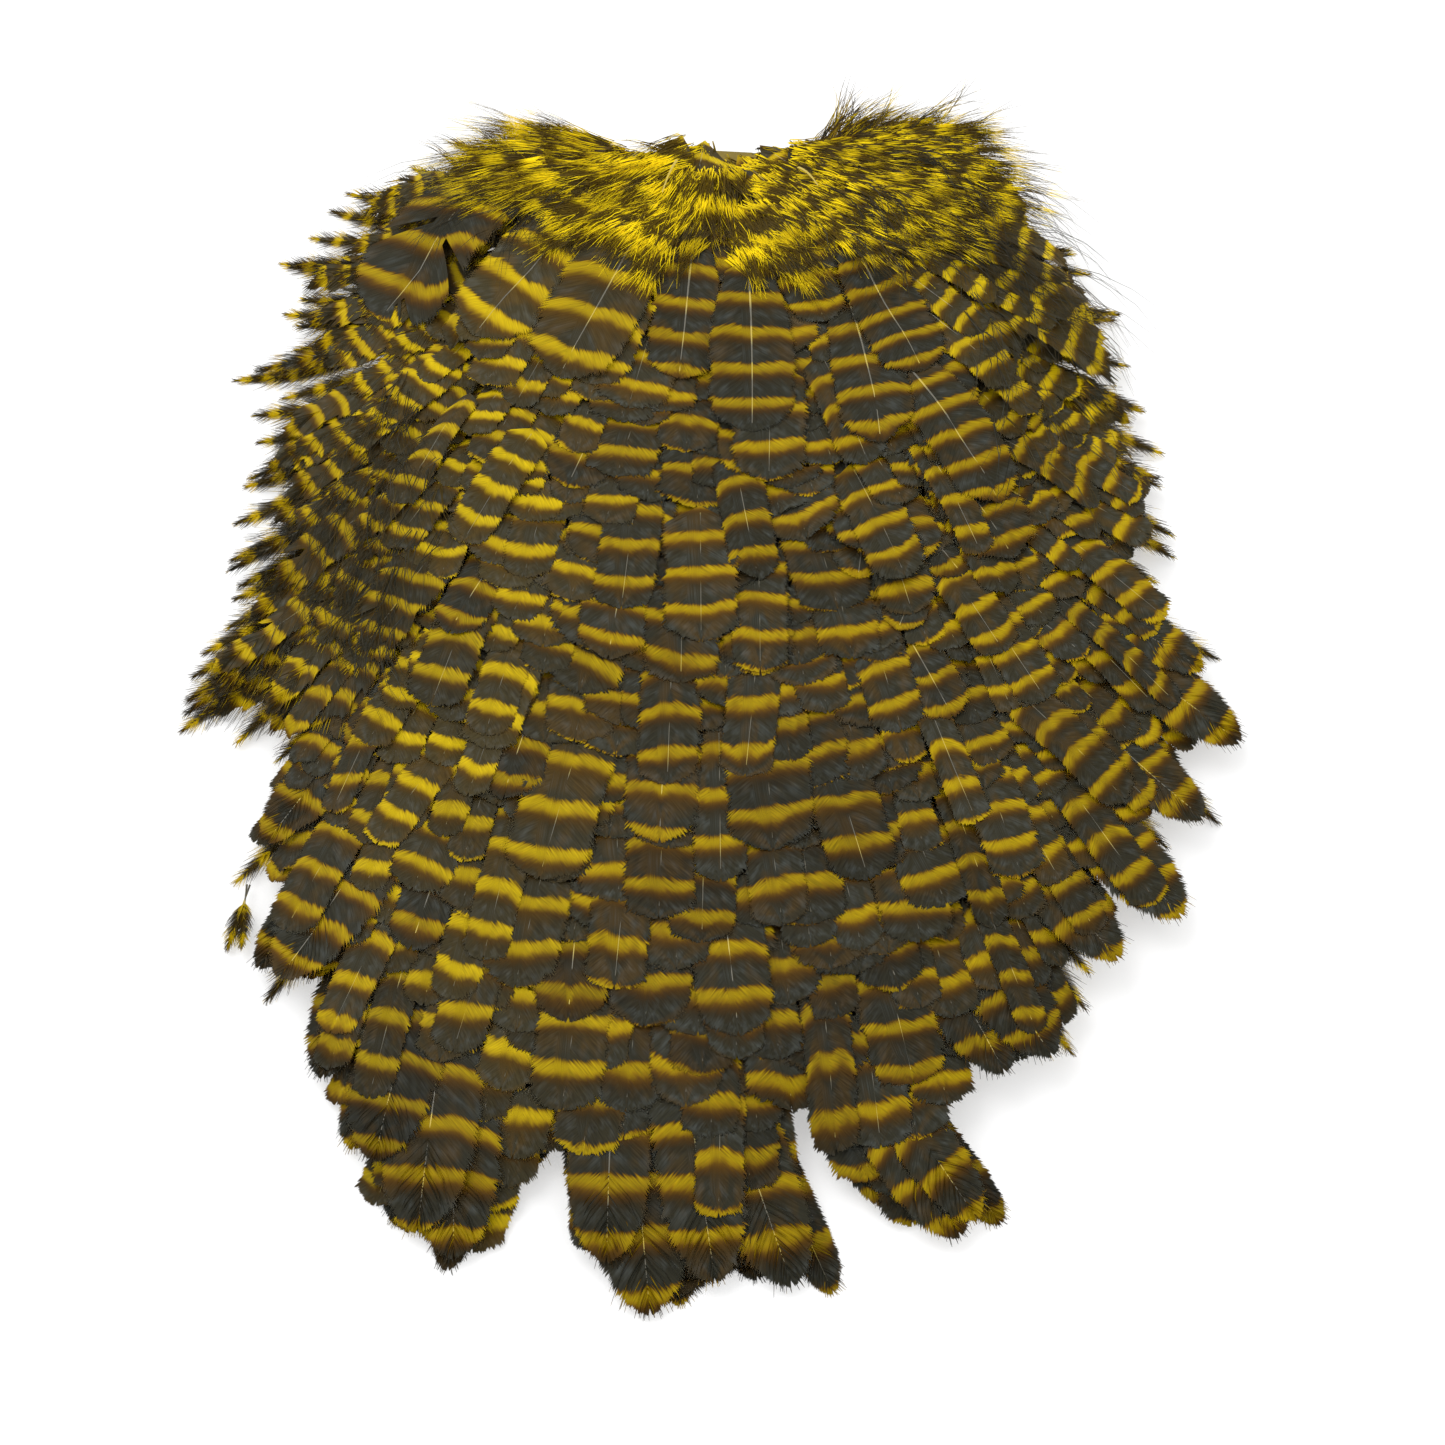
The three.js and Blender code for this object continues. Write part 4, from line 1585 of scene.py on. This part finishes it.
@dataclass
class NamedFeathers:
    """One tract of the feathers that the solid part also has, each a piece of its own.

    Attributes:
        tract: Name of the tract.
        rows: Tip x, tip y, heading, length and width of each feather.
        kind: The kind of feather in the tract.
        slot: Name of a material slot, kept with their pieces.
        narrow: How wide they are, compared to their solids.
        curl: How far their ends stand up, or are bent down if less than 0.
        blunt: Length of their rounded ends, as a share of the width.
        level: How far they lie above the coat; those below it are bent down onto it.
    """

    tract: str
    rows: Rows
    kind: Plumage
    slot: str
    narrow: float = 0.54
    curl: float = -0.9
    blunt: float = 0.34
    level: float = -1.1

    def feather(self, place: int, lie: Lie) -> Feather:
        """One feather of the tract, without its own chances.

        Args:
            place: Its place in the tract.
            lie: How the coat lies.

        Returns:
            The feather.
        """
        x, y, heading, length, width = self.rows[place]
        slim = lie.slim(x, 0.68) if self.level < 0 else 1.0
        loose = self.kind is Plumage.LOOSE
        glow = 0.08 if loose else -0.08 if y < -60 else 0.0
        to_neck = (y - (62 if x < 0 else 45)) / 20
        return Feather(
            x, y, heading, length, width * self.narrow * slim, self.kind,
            blunt=self.blunt,
            level=self.level + 0.3 * (place % 3),
            curl=self.curl,
            glow=glow + 0.5 * max(0.0, min(1.0, to_neck)),
            fluff=0.7 if loose else 0.2,
        )

    def strands(self) -> int:
        """Number of free barbs on each side of a feather; one down in the coat shows none.

        Returns:
            The number.
        """
        if self.kind is Plumage.LOOSE:
            return 72
        return 0 if self.level < 0 else 18

    def plan(self, coat: Coat, vane: bpy.types.Material) -> None:
        """Adds each feather to the coat, in its solid's place.

        Args:
            coat: The coat.
            vane: The finish of their barbs.
        """
        lie, rng = coat.builder.lie, coat.builder.rng
        for i in range(len(self.rows)):
            node = f"{self.tract}_feather_{i + 1:02d}"
            line = Shaftline(lie, replace(self.feather(i, lie), bars=float(rng.normal(0, 0.15))))
            if self.level < 0:
                line = Shaftline(lie, line.settled(covert_length(line.tip_distance), 1.0))
            barbs, shaft = coat.group(node, vane, self.slot, node, "shaft")
            coat.grow(line, True, self.strands(), barbs, shaft)
        LOG.info("%s: %d feathers", self.tract, len(self.rows))


ON_EDGE_WEBBED = {"narrow": 0.74, "curl": -0.1, "blunt": 1.0, "level": 0.0}
ON_EDGE_LOOSE = {"narrow": 0.62, "curl": -0.1, "blunt": 1.3, "level": 0.0}
ON_CROWN = {"narrow": 0.92, "curl": -0.6, "blunt": 0.95, "level": 0.0}
TRACTS = (
    NamedFeathers("flank_left", FLANK_LEFT, Plumage.LOOSE, "loose_feather", **ON_EDGE_LOOSE),
    NamedFeathers("hip_left", HIP_LEFT, Plumage.WEBBED, "webbed_feather", **ON_EDGE_WEBBED),
    NamedFeathers("tail", TAIL, Plumage.WEBBED, "webbed_feather", **ON_EDGE_WEBBED),
    NamedFeathers("hip_right", HIP_RIGHT, Plumage.WEBBED, "webbed_feather", **ON_EDGE_WEBBED),
    NamedFeathers("flank_right", FLANK_RIGHT, Plumage.LOOSE, "loose_feather", **ON_EDGE_LOOSE),
    NamedFeathers("rump", RUMP, Plumage.WEBBED, "webbed_feather"),
    NamedFeathers("back", BACK, Plumage.WEBBED, "webbed_feather"),
    NamedFeathers("saddle", SADDLE, Plumage.WEBBED, "webbed_feather"),
    NamedFeathers("cape", CAPE, Plumage.WEBBED, "webbed_feather"),
    NamedFeathers("crown", CROWN, Plumage.LOOSE, "loose_feather", **ON_CROWN),
)


class Footprint:
    """The ground inside the coat's outline, on a grid of one millimetre."""

    HALF = 110  # the grid's half-width

    def __init__(self, outline: tuple[tuple[float, float], ...]) -> None:
        """Marks the cells that the outline goes round.

        Args:
            outline: Its corners in order.
        """
        centres = np.arange(-self.HALF, self.HALF) + 0.5
        x, y = np.meshgrid(centres, centres, indexing="ij")
        self.cells = np.zeros(x.shape, bool)
        for (x0, y0), (x1, y1) in zip(outline, outline[1:] + outline[:1]):
            if y0 != y1:
                between = (np.minimum(y0, y1) <= y) & (y < np.maximum(y0, y1))
                self.cells ^= between & (x < x0 + (y - y0) / (y1 - y0) * (x1 - x0))

    def _cell(self, value: np.ndarray) -> np.ndarray:
        """Number of the cell that a coordinate falls in."""
        return np.clip(np.floor(value).astype(int) + self.HALF, 0, 2 * self.HALF - 1)

    def holds(self, lie: Lie, feather: Feather) -> bool:
        """Whether the end of a feather lies on the covered ground.

        Args:
            lie: How the coat lies.
            feather: The feather.

        Returns:
            True if it does.
        """
        line = Shaftline(lie, feather)
        half = 0.5 * feather.width
        s = feather.length - np.array([0.0, 2.0, 5.0, 5.0, 10.0, 10.0, 16.0, 16.0])
        across = half * np.array([0.0, 0.0, 0.8, -0.8, 1.0, -1.0, 1.0, -1.0])
        points = line.place(s, across, np.zeros(len(s)))
        return bool(self.cells[self._cell(points[:, 0]), self._cell(points[:, 1])].all())


def covert_length(far: float) -> float:
    """Usual length of the feathers whose tips are this far from the neck."""
    return min(float(np.interp(far, [15, 60, 120], [22, 38, 48])), 0.88 * far)


@dataclass
class Margins:
    """Small feathers that stand out singly along the outline.

    Attributes:
        name: Name of the group.
        rows: Tip x, tip y, heading, length and width of each feather.
        kind: The kind of feather.
        fluff: How far its free barbs stand out, from 0 to 1.
    """

    name: str
    rows: Rows
    kind: Plumage
    fluff: float

    def feathers(self) -> list[Feather]:
        """The feathers without their own chances.

        Returns:
            The feathers.
        """
        return [
            Feather(
                *row, self.kind,
                level=0.2 * (i % 3) - 0.2,
                vane_from=0.3,
                glow=0.5 if self.kind is Plumage.LOOSE else 0.0,
                curl=-0.1,
                fluff=self.fluff,
                blunt=1.2,
            )
            for i, row in enumerate(self.rows)
        ]

    def plan(self, coat: Coat, vane: bpy.types.Material) -> None:
        """Adds the feathers to the coat, as one piece of barbs and one of shafts.

        Args:
            coat: The coat.
            vane: The finish of their barbs.
        """
        barbs, shafts = coat.group(self.name, vane, "loose_feather")
        for feather in self.feathers():
            feather = replace(feather, bars=float(coat.builder.rng.normal(0, 0.25)))
            line = Shaftline(coat.builder.lie, feather)
            coat.grow(line, False, 40 if self.kind is Plumage.LOOSE else 14, barbs, shafts)
        LOG.info("%s: %d feathers", self.name, len(self.rows))


MARGINS = (
    Margins("margin_left", MARGIN_LEFT, Plumage.LOOSE, 0.6),
    Margins("margin_right", MARGIN_RIGHT, Plumage.LOOSE, 0.5),
    Margins("margin_tail", MARGIN_TAIL, Plumage.WEBBED, 0.3),
)


@dataclass
class Bed:
    """The flat mat of down that the feathers grow through, seen only in the gaps between them.

    Attributes:
        middle: Middle of the mat.
        size: Its half-width and half-length.
        height: How high it rises to the middle.
    """

    middle: tuple[float, float] = (-3.0, 10.0)
    size: tuple[float, float] = (56.0, 62.0)
    height: float = 3.4

    def dress(self, down: bpy.types.Material) -> None:
        """Builds the mat as one piece.

        Args:
            down: Its finish.
        """
        sheet = Sheet(rows=46, columns=26, slits=([], []), inner=1.0, gather=0.0)
        along = sheet.row / sheet.rows * 2 - 1
        x = sheet.across * np.sqrt(1 - along**2 / 2)
        y = along * np.sqrt(1 - sheet.across**2 / 2)
        edge = np.clip(1 - (x**2 + y**2), 0, 1)
        lump = 0.35 * np.sin(9 * x + 5 * y) * np.sin(14 * y - 3 * x)
        z = 0.5 + (self.height + lump) * edge**0.7 - sheet.under * 0.2
        points = np.stack([self.middle[0] + self.size[0] * x, self.middle[1] + self.size[1] * y, z], axis=-1)
        between_bars = 0.62 + 0.04 * np.sin(x * 9)
        batch = Batch()
        batch.add(points, sheet.triangles, phase=between_bars, barb=points[:, 0] * 3, tone=0.2)
        piece = batch.make("bed_of_down", down)
        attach(piece, "root")


@dataclass
class Coverts:
    """Rows of smaller feathers that fill the coat between the named ones.

    Attributes:
        footprint: The ground that they may cover.
        row_pitch: Distance from one row of tips to the next.
        side_pitch: Distance from one tip to the next in a row.
        levels: Heights that neighbours take in turn.
    """

    footprint: Footprint
    row_pitch: float = 6.9
    side_pitch: float = 5.2
    levels: tuple[float, ...] = (0.0, 0.05, 0.1)

    FARTHEST = 182.0  # distance of the first row from the neck
    NEAREST = 14.0
    HALF_TURN = 2.2  # how far a row goes round on either side, in radians
    LOOSE_APART = 1.62  # how much farther apart the loose ones are
    LOOSE_WIDER = 1.55
    TRIES = 4  # places that are tried, each a step nearer to its root
    STEP_BACK = 1.6
    PER_PIECE = 2  # rows in a piece
    STRANDS = 18  # free barbs on each side of a loose one

    def plan(self, lie: Lie, rng: np.random.Generator) -> list[list[Feather]]:
        """Lays out the rows.

        Args:
            lie: How the coat lies.
            rng: The chances in it.

        Returns:
            One list of feathers for each row, from the tail to the neck.
        """
        rows = []
        distance = self.FARTHEST
        number = 0
        while distance > self.NEAREST:
            row = self._row(lie, rng, distance, 0.5 * (number % 2))
            if row:
                rows.append(row)
            distance -= self.row_pitch
            number += 1
        return rows

    def _row(self, lie: Lie, rng: np.random.Generator, distance: float, offset: float) -> list[Feather]:
        """Lays out one row around the neck.

        Args:
            lie: How the coat lies.
            rng: The chances in it.
            distance: Distance of the row from the neck.
            offset: How far its first feather is moved along it, in feathers.

        Returns:
            The feathers of the row that lie on the covered ground.
        """
        row: list[Feather] = []
        around = offset * self.side_pitch / distance - self.HALF_TURN
        last = 0
        drift = 0.0
        while around < self.HALF_TURN:
            drift = 0.5 * drift + rng.normal(0, 1.7)
            spot = distance + drift
            turn = around + rng.normal(0, 1.2) / distance
            squeeze = 1 / (1 + (lie.stretch - 1) * abs(math.sin(turn)))
            x = lie.neck[0] + spot * squeeze * math.sin(turn)
            y = lie.neck[1] - spot * squeeze * math.cos(turn)
            wide = self.LOOSE_APART if self._loose(x, y) else 1.0
            apart = self.side_pitch * rng.uniform(0.8, 1.2) * lie.slim(x, 0.8) * wide
            around += apart / distance / max(squeeze, 0.6)
            last = (last + int(rng.integers(1, len(self.levels)))) % len(self.levels)
            made = self._feather(lie, rng, x, y, self.levels[last])
            row.extend(self._settled(lie, made))
        return row

    def _settled(self, lie: Lie, feather: Feather) -> list[Feather]:
        """The feather, moved back until it lies on the covered ground, or nothing if it never does.

        Args:
            lie: How the coat lies.
            feather: The feather.

        Returns:
            A list of one or none.
        """
        way = math.radians(feather.heading)
        for _ in range(self.TRIES):
            if self.footprint.holds(lie, feather):
                return [feather]
            x = feather.tip_x - self.STEP_BACK * math.sin(way)
            y = feather.tip_y + self.STEP_BACK * math.cos(way)
            feather = replace(feather, tip_x=x, tip_y=y)
        return []

    @staticmethod
    def _loose(x: float, y: float) -> bool:
        """Whether the feathers here are loose: close to the neck and along the flanks."""
        return y > (55 if x < 20 else 63) or (x < -46 and y > -22) or (x > 55 and y > 26)

    @staticmethod
    def _glow(far: float, x: float, y: float) -> float:
        """How much of the dye shows, partly as painted light: more near the neck and on the flanks.

        Args:
            far: Distance from the neck.
            x: Place.
            y: Place.

        Returns:
            The share.
        """
        near_neck = np.interp(far, [12, 34, 90, 140], [0.35, 0.0, 0.0, -0.03])
        on_left = np.interp(-x, [10, 30, 44, 50], [0.0, 0.27, 0.27, 0.10])
        on_right = np.interp(x, [18, 34], [0.05, 0.42]) * np.interp(y, [16, 40], [0.2, 1.0])
        return float(near_neck + on_left + on_right)

    def _feather(self, lie: Lie, rng: np.random.Generator, x: float, y: float, level: float) -> Feather:
        """One feather of a row, sized for where it grows.

        Args:
            lie: How the coat lies.
            rng: The chances in it.
            x: Place of its tip.
            y: Place of its tip.
            level: How high it lies.

        Returns:
            The feather.
        """
        far = float(lie.from_neck(x, y))
        heading = math.degrees(float(lie.heading(x, y))) + rng.normal(0, 3.5)
        loose = self._loose(x, y)
        length = covert_length(far)
        usual = float(np.interp(far, [15, 50, 120], [8.0, 9.2, 10.2]))
        width = usual * lie.slim(x, 0.64) * rng.uniform(0.68, 1.3)
        if loose:
            width *= self.LOOSE_WIDER
        glow = (self._glow(far, x, y) + (0.10 if loose else 0.0)) * rng.uniform(0.5, 1.2)
        return Feather(
            x, y, heading, length, width,
            Plumage.LOOSE if loose else Plumage.WEBBED,
            level=level + rng.normal(0, 0.05),
            vane_from=0.52 if length > 30 else 0.3,
            bars=(0.95 + rng.normal(0, 0.11) - far / BAR_PITCH_MM + 0.5) % 1 - 0.5,
            glow=glow,
            curl=-1.6 - level + rng.normal(0, 0.06),
            fluff=0.3 if y < 50 else 0.6,
            blunt=rng.uniform(0.08, 0.30),
            over=rng.uniform(7, 13) if rng.uniform() < 0.2 else rng.uniform(-2, 2),
        )

    def dress(self, coat: Coat, vane: bpy.types.Material) -> None:
        """Adds the rows to the coat, a few to a piece.

        Args:
            coat: The coat.
            vane: The finish of their barbs.
        """
        rows = self.plan(coat.builder.lie, coat.builder.rng)
        for first in range(0, len(rows), self.PER_PIECE):
            number = first // self.PER_PIECE + 1
            barbs, shafts = coat.group(f"covert_row_{number:02d}", vane, "webbed_feather")
            feathers = [f for row in rows[first:first + self.PER_PIECE] for f in row]
            for feather in feathers:
                strands = self.STRANDS if feather.kind is Plumage.LOOSE else 0
                coat.grow(Shaftline(coat.builder.lie, feather), False, strands, barbs, shafts, 0.4)
            LOG.info("covert row %d: %d feathers", number, len(feathers))


def cover(
    x: float, y: float, heading: float, length: float, width: float, over: float, **own: object
) -> Feather:
    """A large feather on top of the coat.

    Args:
        x: Place of its tip.
        y: Place of its tip.
        heading: Direction that it points in, in degrees.
        length: Its length.
        width: Its width.
        over: How far it lies over the rows above it.
        own: What else is its own, by field name.

    Returns:
        The feather.
    """
    usual = {"curl": -1.8, "vane_from": 0.2} | own
    return Feather(x, y, heading, length, width, over=over, **usual)


COVERS = (
    cover(-49.2, 48.5, -35, 46, 20.5, 41, kind=Plumage.SPLIT, pitch=7.4),
    cover(-34.5, 38.5, -33, 36, 14.5, 27, pitch=6.9, glow=0.2),
    cover(-22.6, 31.5, -25, 40, 15.5, 34, pitch=7.0, glow=0.15),
    cover(-6, 31, -5, 30, 11.0, 15),
    cover(4, 22, -1, 36, 13.4, 40),
    cover(27.5, 31.5, 21, 34, 11.5, 24),
    cover(21.5, 20.5, 6, 34, 11.6, 18),
    cover(37.5, 12, 31, 36, 11.0, 24),
    cover(51, 45.5, 52, 32, 13.0, 18, pitch=6.0, glow=0.3),
    cover(41, 37, 46, 30, 9.4, 12, glow=0.2),
    cover(43, 26, 42, 32, 10.0, 15, glow=0.15),
    cover(33, 26, 27, 34, 9.0, 10),
    cover(39, 4, 31, 40, 12.8, 16),
    cover(20, 4, 12, 34, 9.6, 12),
    cover(27, 3, 24, 34, 9.0, 14),
    cover(32, 1, 34, 34, 8.0, 12),
    cover(18, 1, -8, 26, 8.6, 20, curl=-0.2),
    cover(25, 0.5, 32, 26, 9.0, 24, curl=0.9),
    cover(23, -7, -22, 24, 7.0, 26, curl=0.3),
)


@dataclass
class Covers:
    """The large feathers that lie open on top of the coat below the neck."""

    feathers: tuple[Feather, ...] = COVERS

    def plan(self, coat: Coat, vane: bpy.types.Material) -> None:
        """Adds each feather to the coat, as a piece of its own.

        Args:
            coat: The coat.
            vane: The finish of their barbs.
        """
        for i, feather in enumerate(self.feathers):
            feather = replace(feather, bars=float(coat.builder.rng.normal(0, 0.1)))
            barbs, shaft = coat.group(f"cover_{i + 1:02d}", vane, "webbed_feather", ending="shaft")
            coat.grow(Shaftline(coat.builder.lie, feather), True, 0, barbs, shaft)
        LOG.info("covers: %d feathers", len(self.feathers))


@dataclass
class Down:
    """A patch of hair-like down, rooted at random in an ellipse.

    Attributes:
        name: Name of the piece.
        middle: Middle of the patch.
        size: Its half-width and half-length.
        clumps: Number of feathers that the down belongs to.
        locks: Number of locks in each.
        tuft: Size and spread of each lock.
        turn: Turned from the way of the coat, in degrees.
        sweep: If it isn't 0, how far the down turns away from the parting by the neck, in degrees.
        height: Height of the roots above the coat.
        ease: How far the locks of a clump lie apart.
    """

    name: str
    middle: tuple[float, float]
    size: tuple[float, float]
    clumps: int
    locks: int
    tuft: Tuft
    turn: float = 0.0
    sweep: float = 0.0
    height: float = 0.5
    ease: float = 1.2

    PARTING_X = -1.0  # the line that swept down turns away from
    PARTING_Y = 78.0  # where it turns away by the full sweep

    def _heading(self, lie: Lie, x: float, y: float) -> float:
        """Direction that the down points in at a place, in radians.

        Args:
            lie: How the coat lies.
            x: Place.
            y: Place.

        Returns:
            The angle.
        """
        if not self.sweep:
            return float(lie.heading(x, y)) + math.radians(self.turn)
        swept = math.radians(self.sweep - 1.5 * (self.PARTING_Y - y))
        return swept * math.tanh((x - self.PARTING_X) / 3.5)

    def dress(self, builder: VaneBuilder, down: bpy.types.Material) -> None:
        """Builds the patch as one piece.

        Args:
            builder: Shapes the locks.
            down: Their finish.
        """
        batch = Batch()
        rng = builder.rng
        for _ in range(self.clumps):
            radius = math.sqrt(rng.uniform())
            around = rng.uniform(0, 2 * math.pi)
            x = self.middle[0] + self.size[0] * radius * math.cos(around)
            y = self.middle[1] + self.size[1] * radius * math.sin(around)
            heading = self._heading(builder.lie, x, y) + rng.normal(0, 1.4 * self.tuft.stray)
            shift = rng.normal(self.tuft.shade, self.tuft.mottle)
            wave = math.sin(0.55 * x + 2 * math.sin(0.31 * y)) + 0.6 * math.sin(0.9 * y - 0.4 * x)
            shift += self.tuft.patch * wave
            glow = float(np.clip(self.tuft.glow + rng.normal(0, 0.25), 0, 1))
            length = self.tuft.length * rng.uniform(0.75, 1.2)
            for _ in range(self.locks):
                own_x, own_y = (float(v + rng.normal(0, self.ease)) for v in (x, y))
                base = self.height + float(builder.ground.under(own_x, own_y))
                way = heading + rng.normal(0, self.tuft.stray)
                own = replace(self.tuft, length=length * rng.uniform(0.85, 1.1))
                root = (own_x, own_y, base + rng.uniform(-0.3, 0.6))
                builder.tuft(batch, root, way, own, shift, glow)
        piece = batch.make(self.name, down)
        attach(piece, "root")
        LOG.info("%s: %d locks", self.name, self.clumps * self.locks)


SILKY = Tuft(
    strands=14, length=14, spread=1.0, stray=0.10, mottle=0.12, glow=0.85, pitch=8.5, thick=0.065,
    gather=0.35, brindle=0.06, patch=0.28,
)
STREAKY = Tuft(
    strands=7, length=10.5, spread=0.42, stray=0.09, mottle=0.5, glow=0.74, pitch=6.2, thick=0.085,
    brindle=0.05,
)
BRIGHT = Tuft(
    strands=12, length=8.5, spread=0.9, stray=0.16, mottle=0.07, glow=1.0, pitch=8.0, thick=0.085, gather=0.5,
    brindle=0.04, patch=0.28,
)
SHORT = Tuft(strands=10, length=7, mottle=0.4, glow=0.6, arch=1.2)
NO_BARS = 1e6  # a pitch so long that a hair has one colour
DARK = Tuft(
    strands=2, length=15, spread=0.4, stray=0.12, mottle=0.06, glow=0.0, bend=0.5, thick=0.075, pitch=NO_BARS,
    shade=0.75, brindle=0.0,
)
SPIKY = Tuft(strands=5, length=11, spread=0.5, stray=0.12, mottle=0.4, glow=0.3, arch=1.4, thick=0.085)
DOWN = (
    Down("down_left", (-19.3, 74.6), (12, 6.3), 34, 6, SILKY, turn=-10),
    Down("down_top_left", (-18.5, 82.2), (8, 2.2), 13, 6, SILKY, turn=-14),
    Down("down_inner_left", (-16, 63), (7, 8), 22, 5, replace(BRIGHT, glow=0.7, mottle=0.25), turn=-22),
    Down("down_right", (21.2, 68), (14.8, 14), 118, 5, STREAKY, turn=10),
    Down("down_top_right", (22.5, 83.3), (8, 2.2), 15, 5, STREAKY, turn=30),
    Down("down_neck_left", (-9, 65), (9, 13), 40, 6, BRIGHT, sweep=74),
    Down("down_neck_right", (6, 64), (8, 13), 34, 6, replace(BRIGHT, glow=0.85), sweep=66),
    Down("down_neck_dip", (4, 76), (4, 2), 10, 4, replace(SHORT, glow=0.2, length=5), sweep=75),
    Down("down_edge_left", (-14, 82), (5.5, 1.6), 12, 4, replace(SHORT, glow=0.8), turn=-10),
    Down("down_edge_middle", (0, 78.4), (8, 1.2), 16, 4, replace(SHORT, length=5, arch=0.3), sweep=80),
    Down(
        "down_edge_skin", (0, 80), (9, 0.5), 22, 4, replace(SHORT, length=4, arch=0.2), sweep=84, height=1.3
    ),
    Down("down_edge_right", (10.5, 79.4), (3.2, 1.2), 10, 4, replace(SHORT, arch=0.5), turn=18),
    Down("dark_hairs_right", (29, 64), (15, 12), 100, 2, DARK, turn=4, height=1.1),
    Down("dark_hairs_left", (-27, 71), (12, 10), 50, 2, DARK, turn=-14),
    Down("stray_left", (-33, 75.6), (5, 3), 12, 1, replace(SPIKY, length=9.5), turn=-55),
    Down("stray_right", (23, 81.5), (10, 4), 30, 1, SPIKY, turn=44),
    Down("stray_dip_right", (17.2, 84), (2.5, 2), 10, 2, replace(SPIKY, length=9.5), turn=60),
    Down("dark_hairs_flank_left", (-47, 14), (8, 24), 70, 2, DARK),
    Down("dark_hairs_flank_right", (42, 40), (8, 20), 44, 2, DARK),
)


@dataclass
class Studio:
    """The table, the lights and the camera.

    Attributes:
        camera_mm: The camera's place.
        tilt_deg: How far it is tilted from looking straight down.
        lens_mm: Its focal length.
        table_grey: How much light the table sends back.
        table_light: How much light it gives itself, since the photograph's shadows are nearly white.
        room_light: Strength of the light from all around.
        lamp_place: Place of the lamp, in metres.
        lamp_turn: How far it is turned about X and Y, in degrees.
        lamp_size: Its width, in metres.
        lamp_watts: Its strength.
    """

    camera_mm: tuple[float, float, float] = (2.38, -200.3, 326.2)
    tilt_deg: float = 30.0
    lens_mm: float = 70.0
    table_grey: float = 0.60
    table_light: float = 0.44
    room_light: float = 1.06
    lamp_place: tuple[float, float, float] = (-0.45, 0.35, 0.95)
    lamp_turn: tuple[float, float] = (-25.0, -22.0)
    lamp_size: float = 0.7
    lamp_watts: float = 4.0

    def build(self) -> None:
        """Sets up everything that isn't the object."""
        self._table()
        self._lights()
        self._camera()

    def _table(self) -> None:
        """Lays a plain white table top."""
        bm = bmesh.new()
        bmesh.ops.create_grid(bm, x_segments=1, y_segments=1, size=2.0)
        mesh = bpy.data.meshes.new("table_top")
        bm.to_mesh(mesh)
        bm.free()
        material, g, surface = new_material("white table")
        g.feed_all(surface, {
            "Base Color": (self.table_grey, self.table_grey, self.table_grey),
            "Emission Color": WHITE,
            "Emission Strength": self.table_light,
            "Roughness": 0.9,
            "Specular IOR Level": 0.1,
        })
        mesh.materials.append(material)
        table = put("table_top", mesh)

    def _lights(self) -> None:
        """Adds a bright white room and a large soft lamp past the neck end, on the left."""
        world = bpy.data.worlds.new("white room")
        bpy.context.scene.world = world
        world.use_nodes = True
        g = Graph(world.node_tree)
        sky = g.node("ShaderNodeBackground")
        g.feed_all(sky, {"Color": WHITE, "Strength": self.room_light})
        g.feed(g.node("ShaderNodeOutputWorld").inputs["Surface"], sky.outputs["Background"])
        lamp = bpy.data.lights.new("soft lamp", "AREA")
        lamp.shape = "DISK"
        lamp.size = self.lamp_size
        lamp.energy = self.lamp_watts
        about_x, about_y = (
            Matrix.Rotation(math.radians(turn), 4, axis) for turn, axis in zip(self.lamp_turn, "XY")
        )
        put("soft_lamp", lamp).matrix_world = Matrix.Translation(self.lamp_place) @ about_x @ about_y
        bpy.context.scene.view_settings.view_transform = "Standard"

    def _camera(self) -> None:
        """Puts the camera where the photograph was taken from."""
        camera = bpy.data.cameras.new("camera")
        camera.lens = self.lens_mm
        camera.sensor_width = 36.0
        camera.clip_start = 0.01
        holder = put("camera", camera)
        place = Matrix.Translation([v * MM for v in self.camera_mm])
        holder.matrix_world = place @ Matrix.Rotation(math.radians(self.tilt_deg), 4, "X")
        bpy.context.scene.camera = holder


def main() -> None:
    """Builds the patch, its finishes and the studio."""
    logging.basicConfig(level=logging.INFO, format="%(message)s")
    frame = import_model()
    finishes = Finishes()
    skin = frame["nodes"]["skin"]
    skin.data.materials.clear()
    skin.data.materials.append(finishes.skin)
    builder = VaneBuilder(Lie())
    coat = Coat(builder, finishes.quill)
    for tract in TRACTS:
        tract.plan(coat, finishes.loose if tract.tract == "crown" else finishes.edge(tract.kind))
    for margin in MARGINS:
        margin.plan(coat, finishes.edge(margin.kind))
    Bed().dress(finishes.loose)
    Coverts(Footprint(OUTLINE)).dress(coat, finishes.webbed)
    Covers().plan(coat, finishes.webbed)
    coat.lay()
    for patch in DOWN:
        patch.dress(builder, finishes.downy)
    BareQuills().dress(builder, finishes.quill)
    Studio().build()


if __name__ == "__main__":
    main()
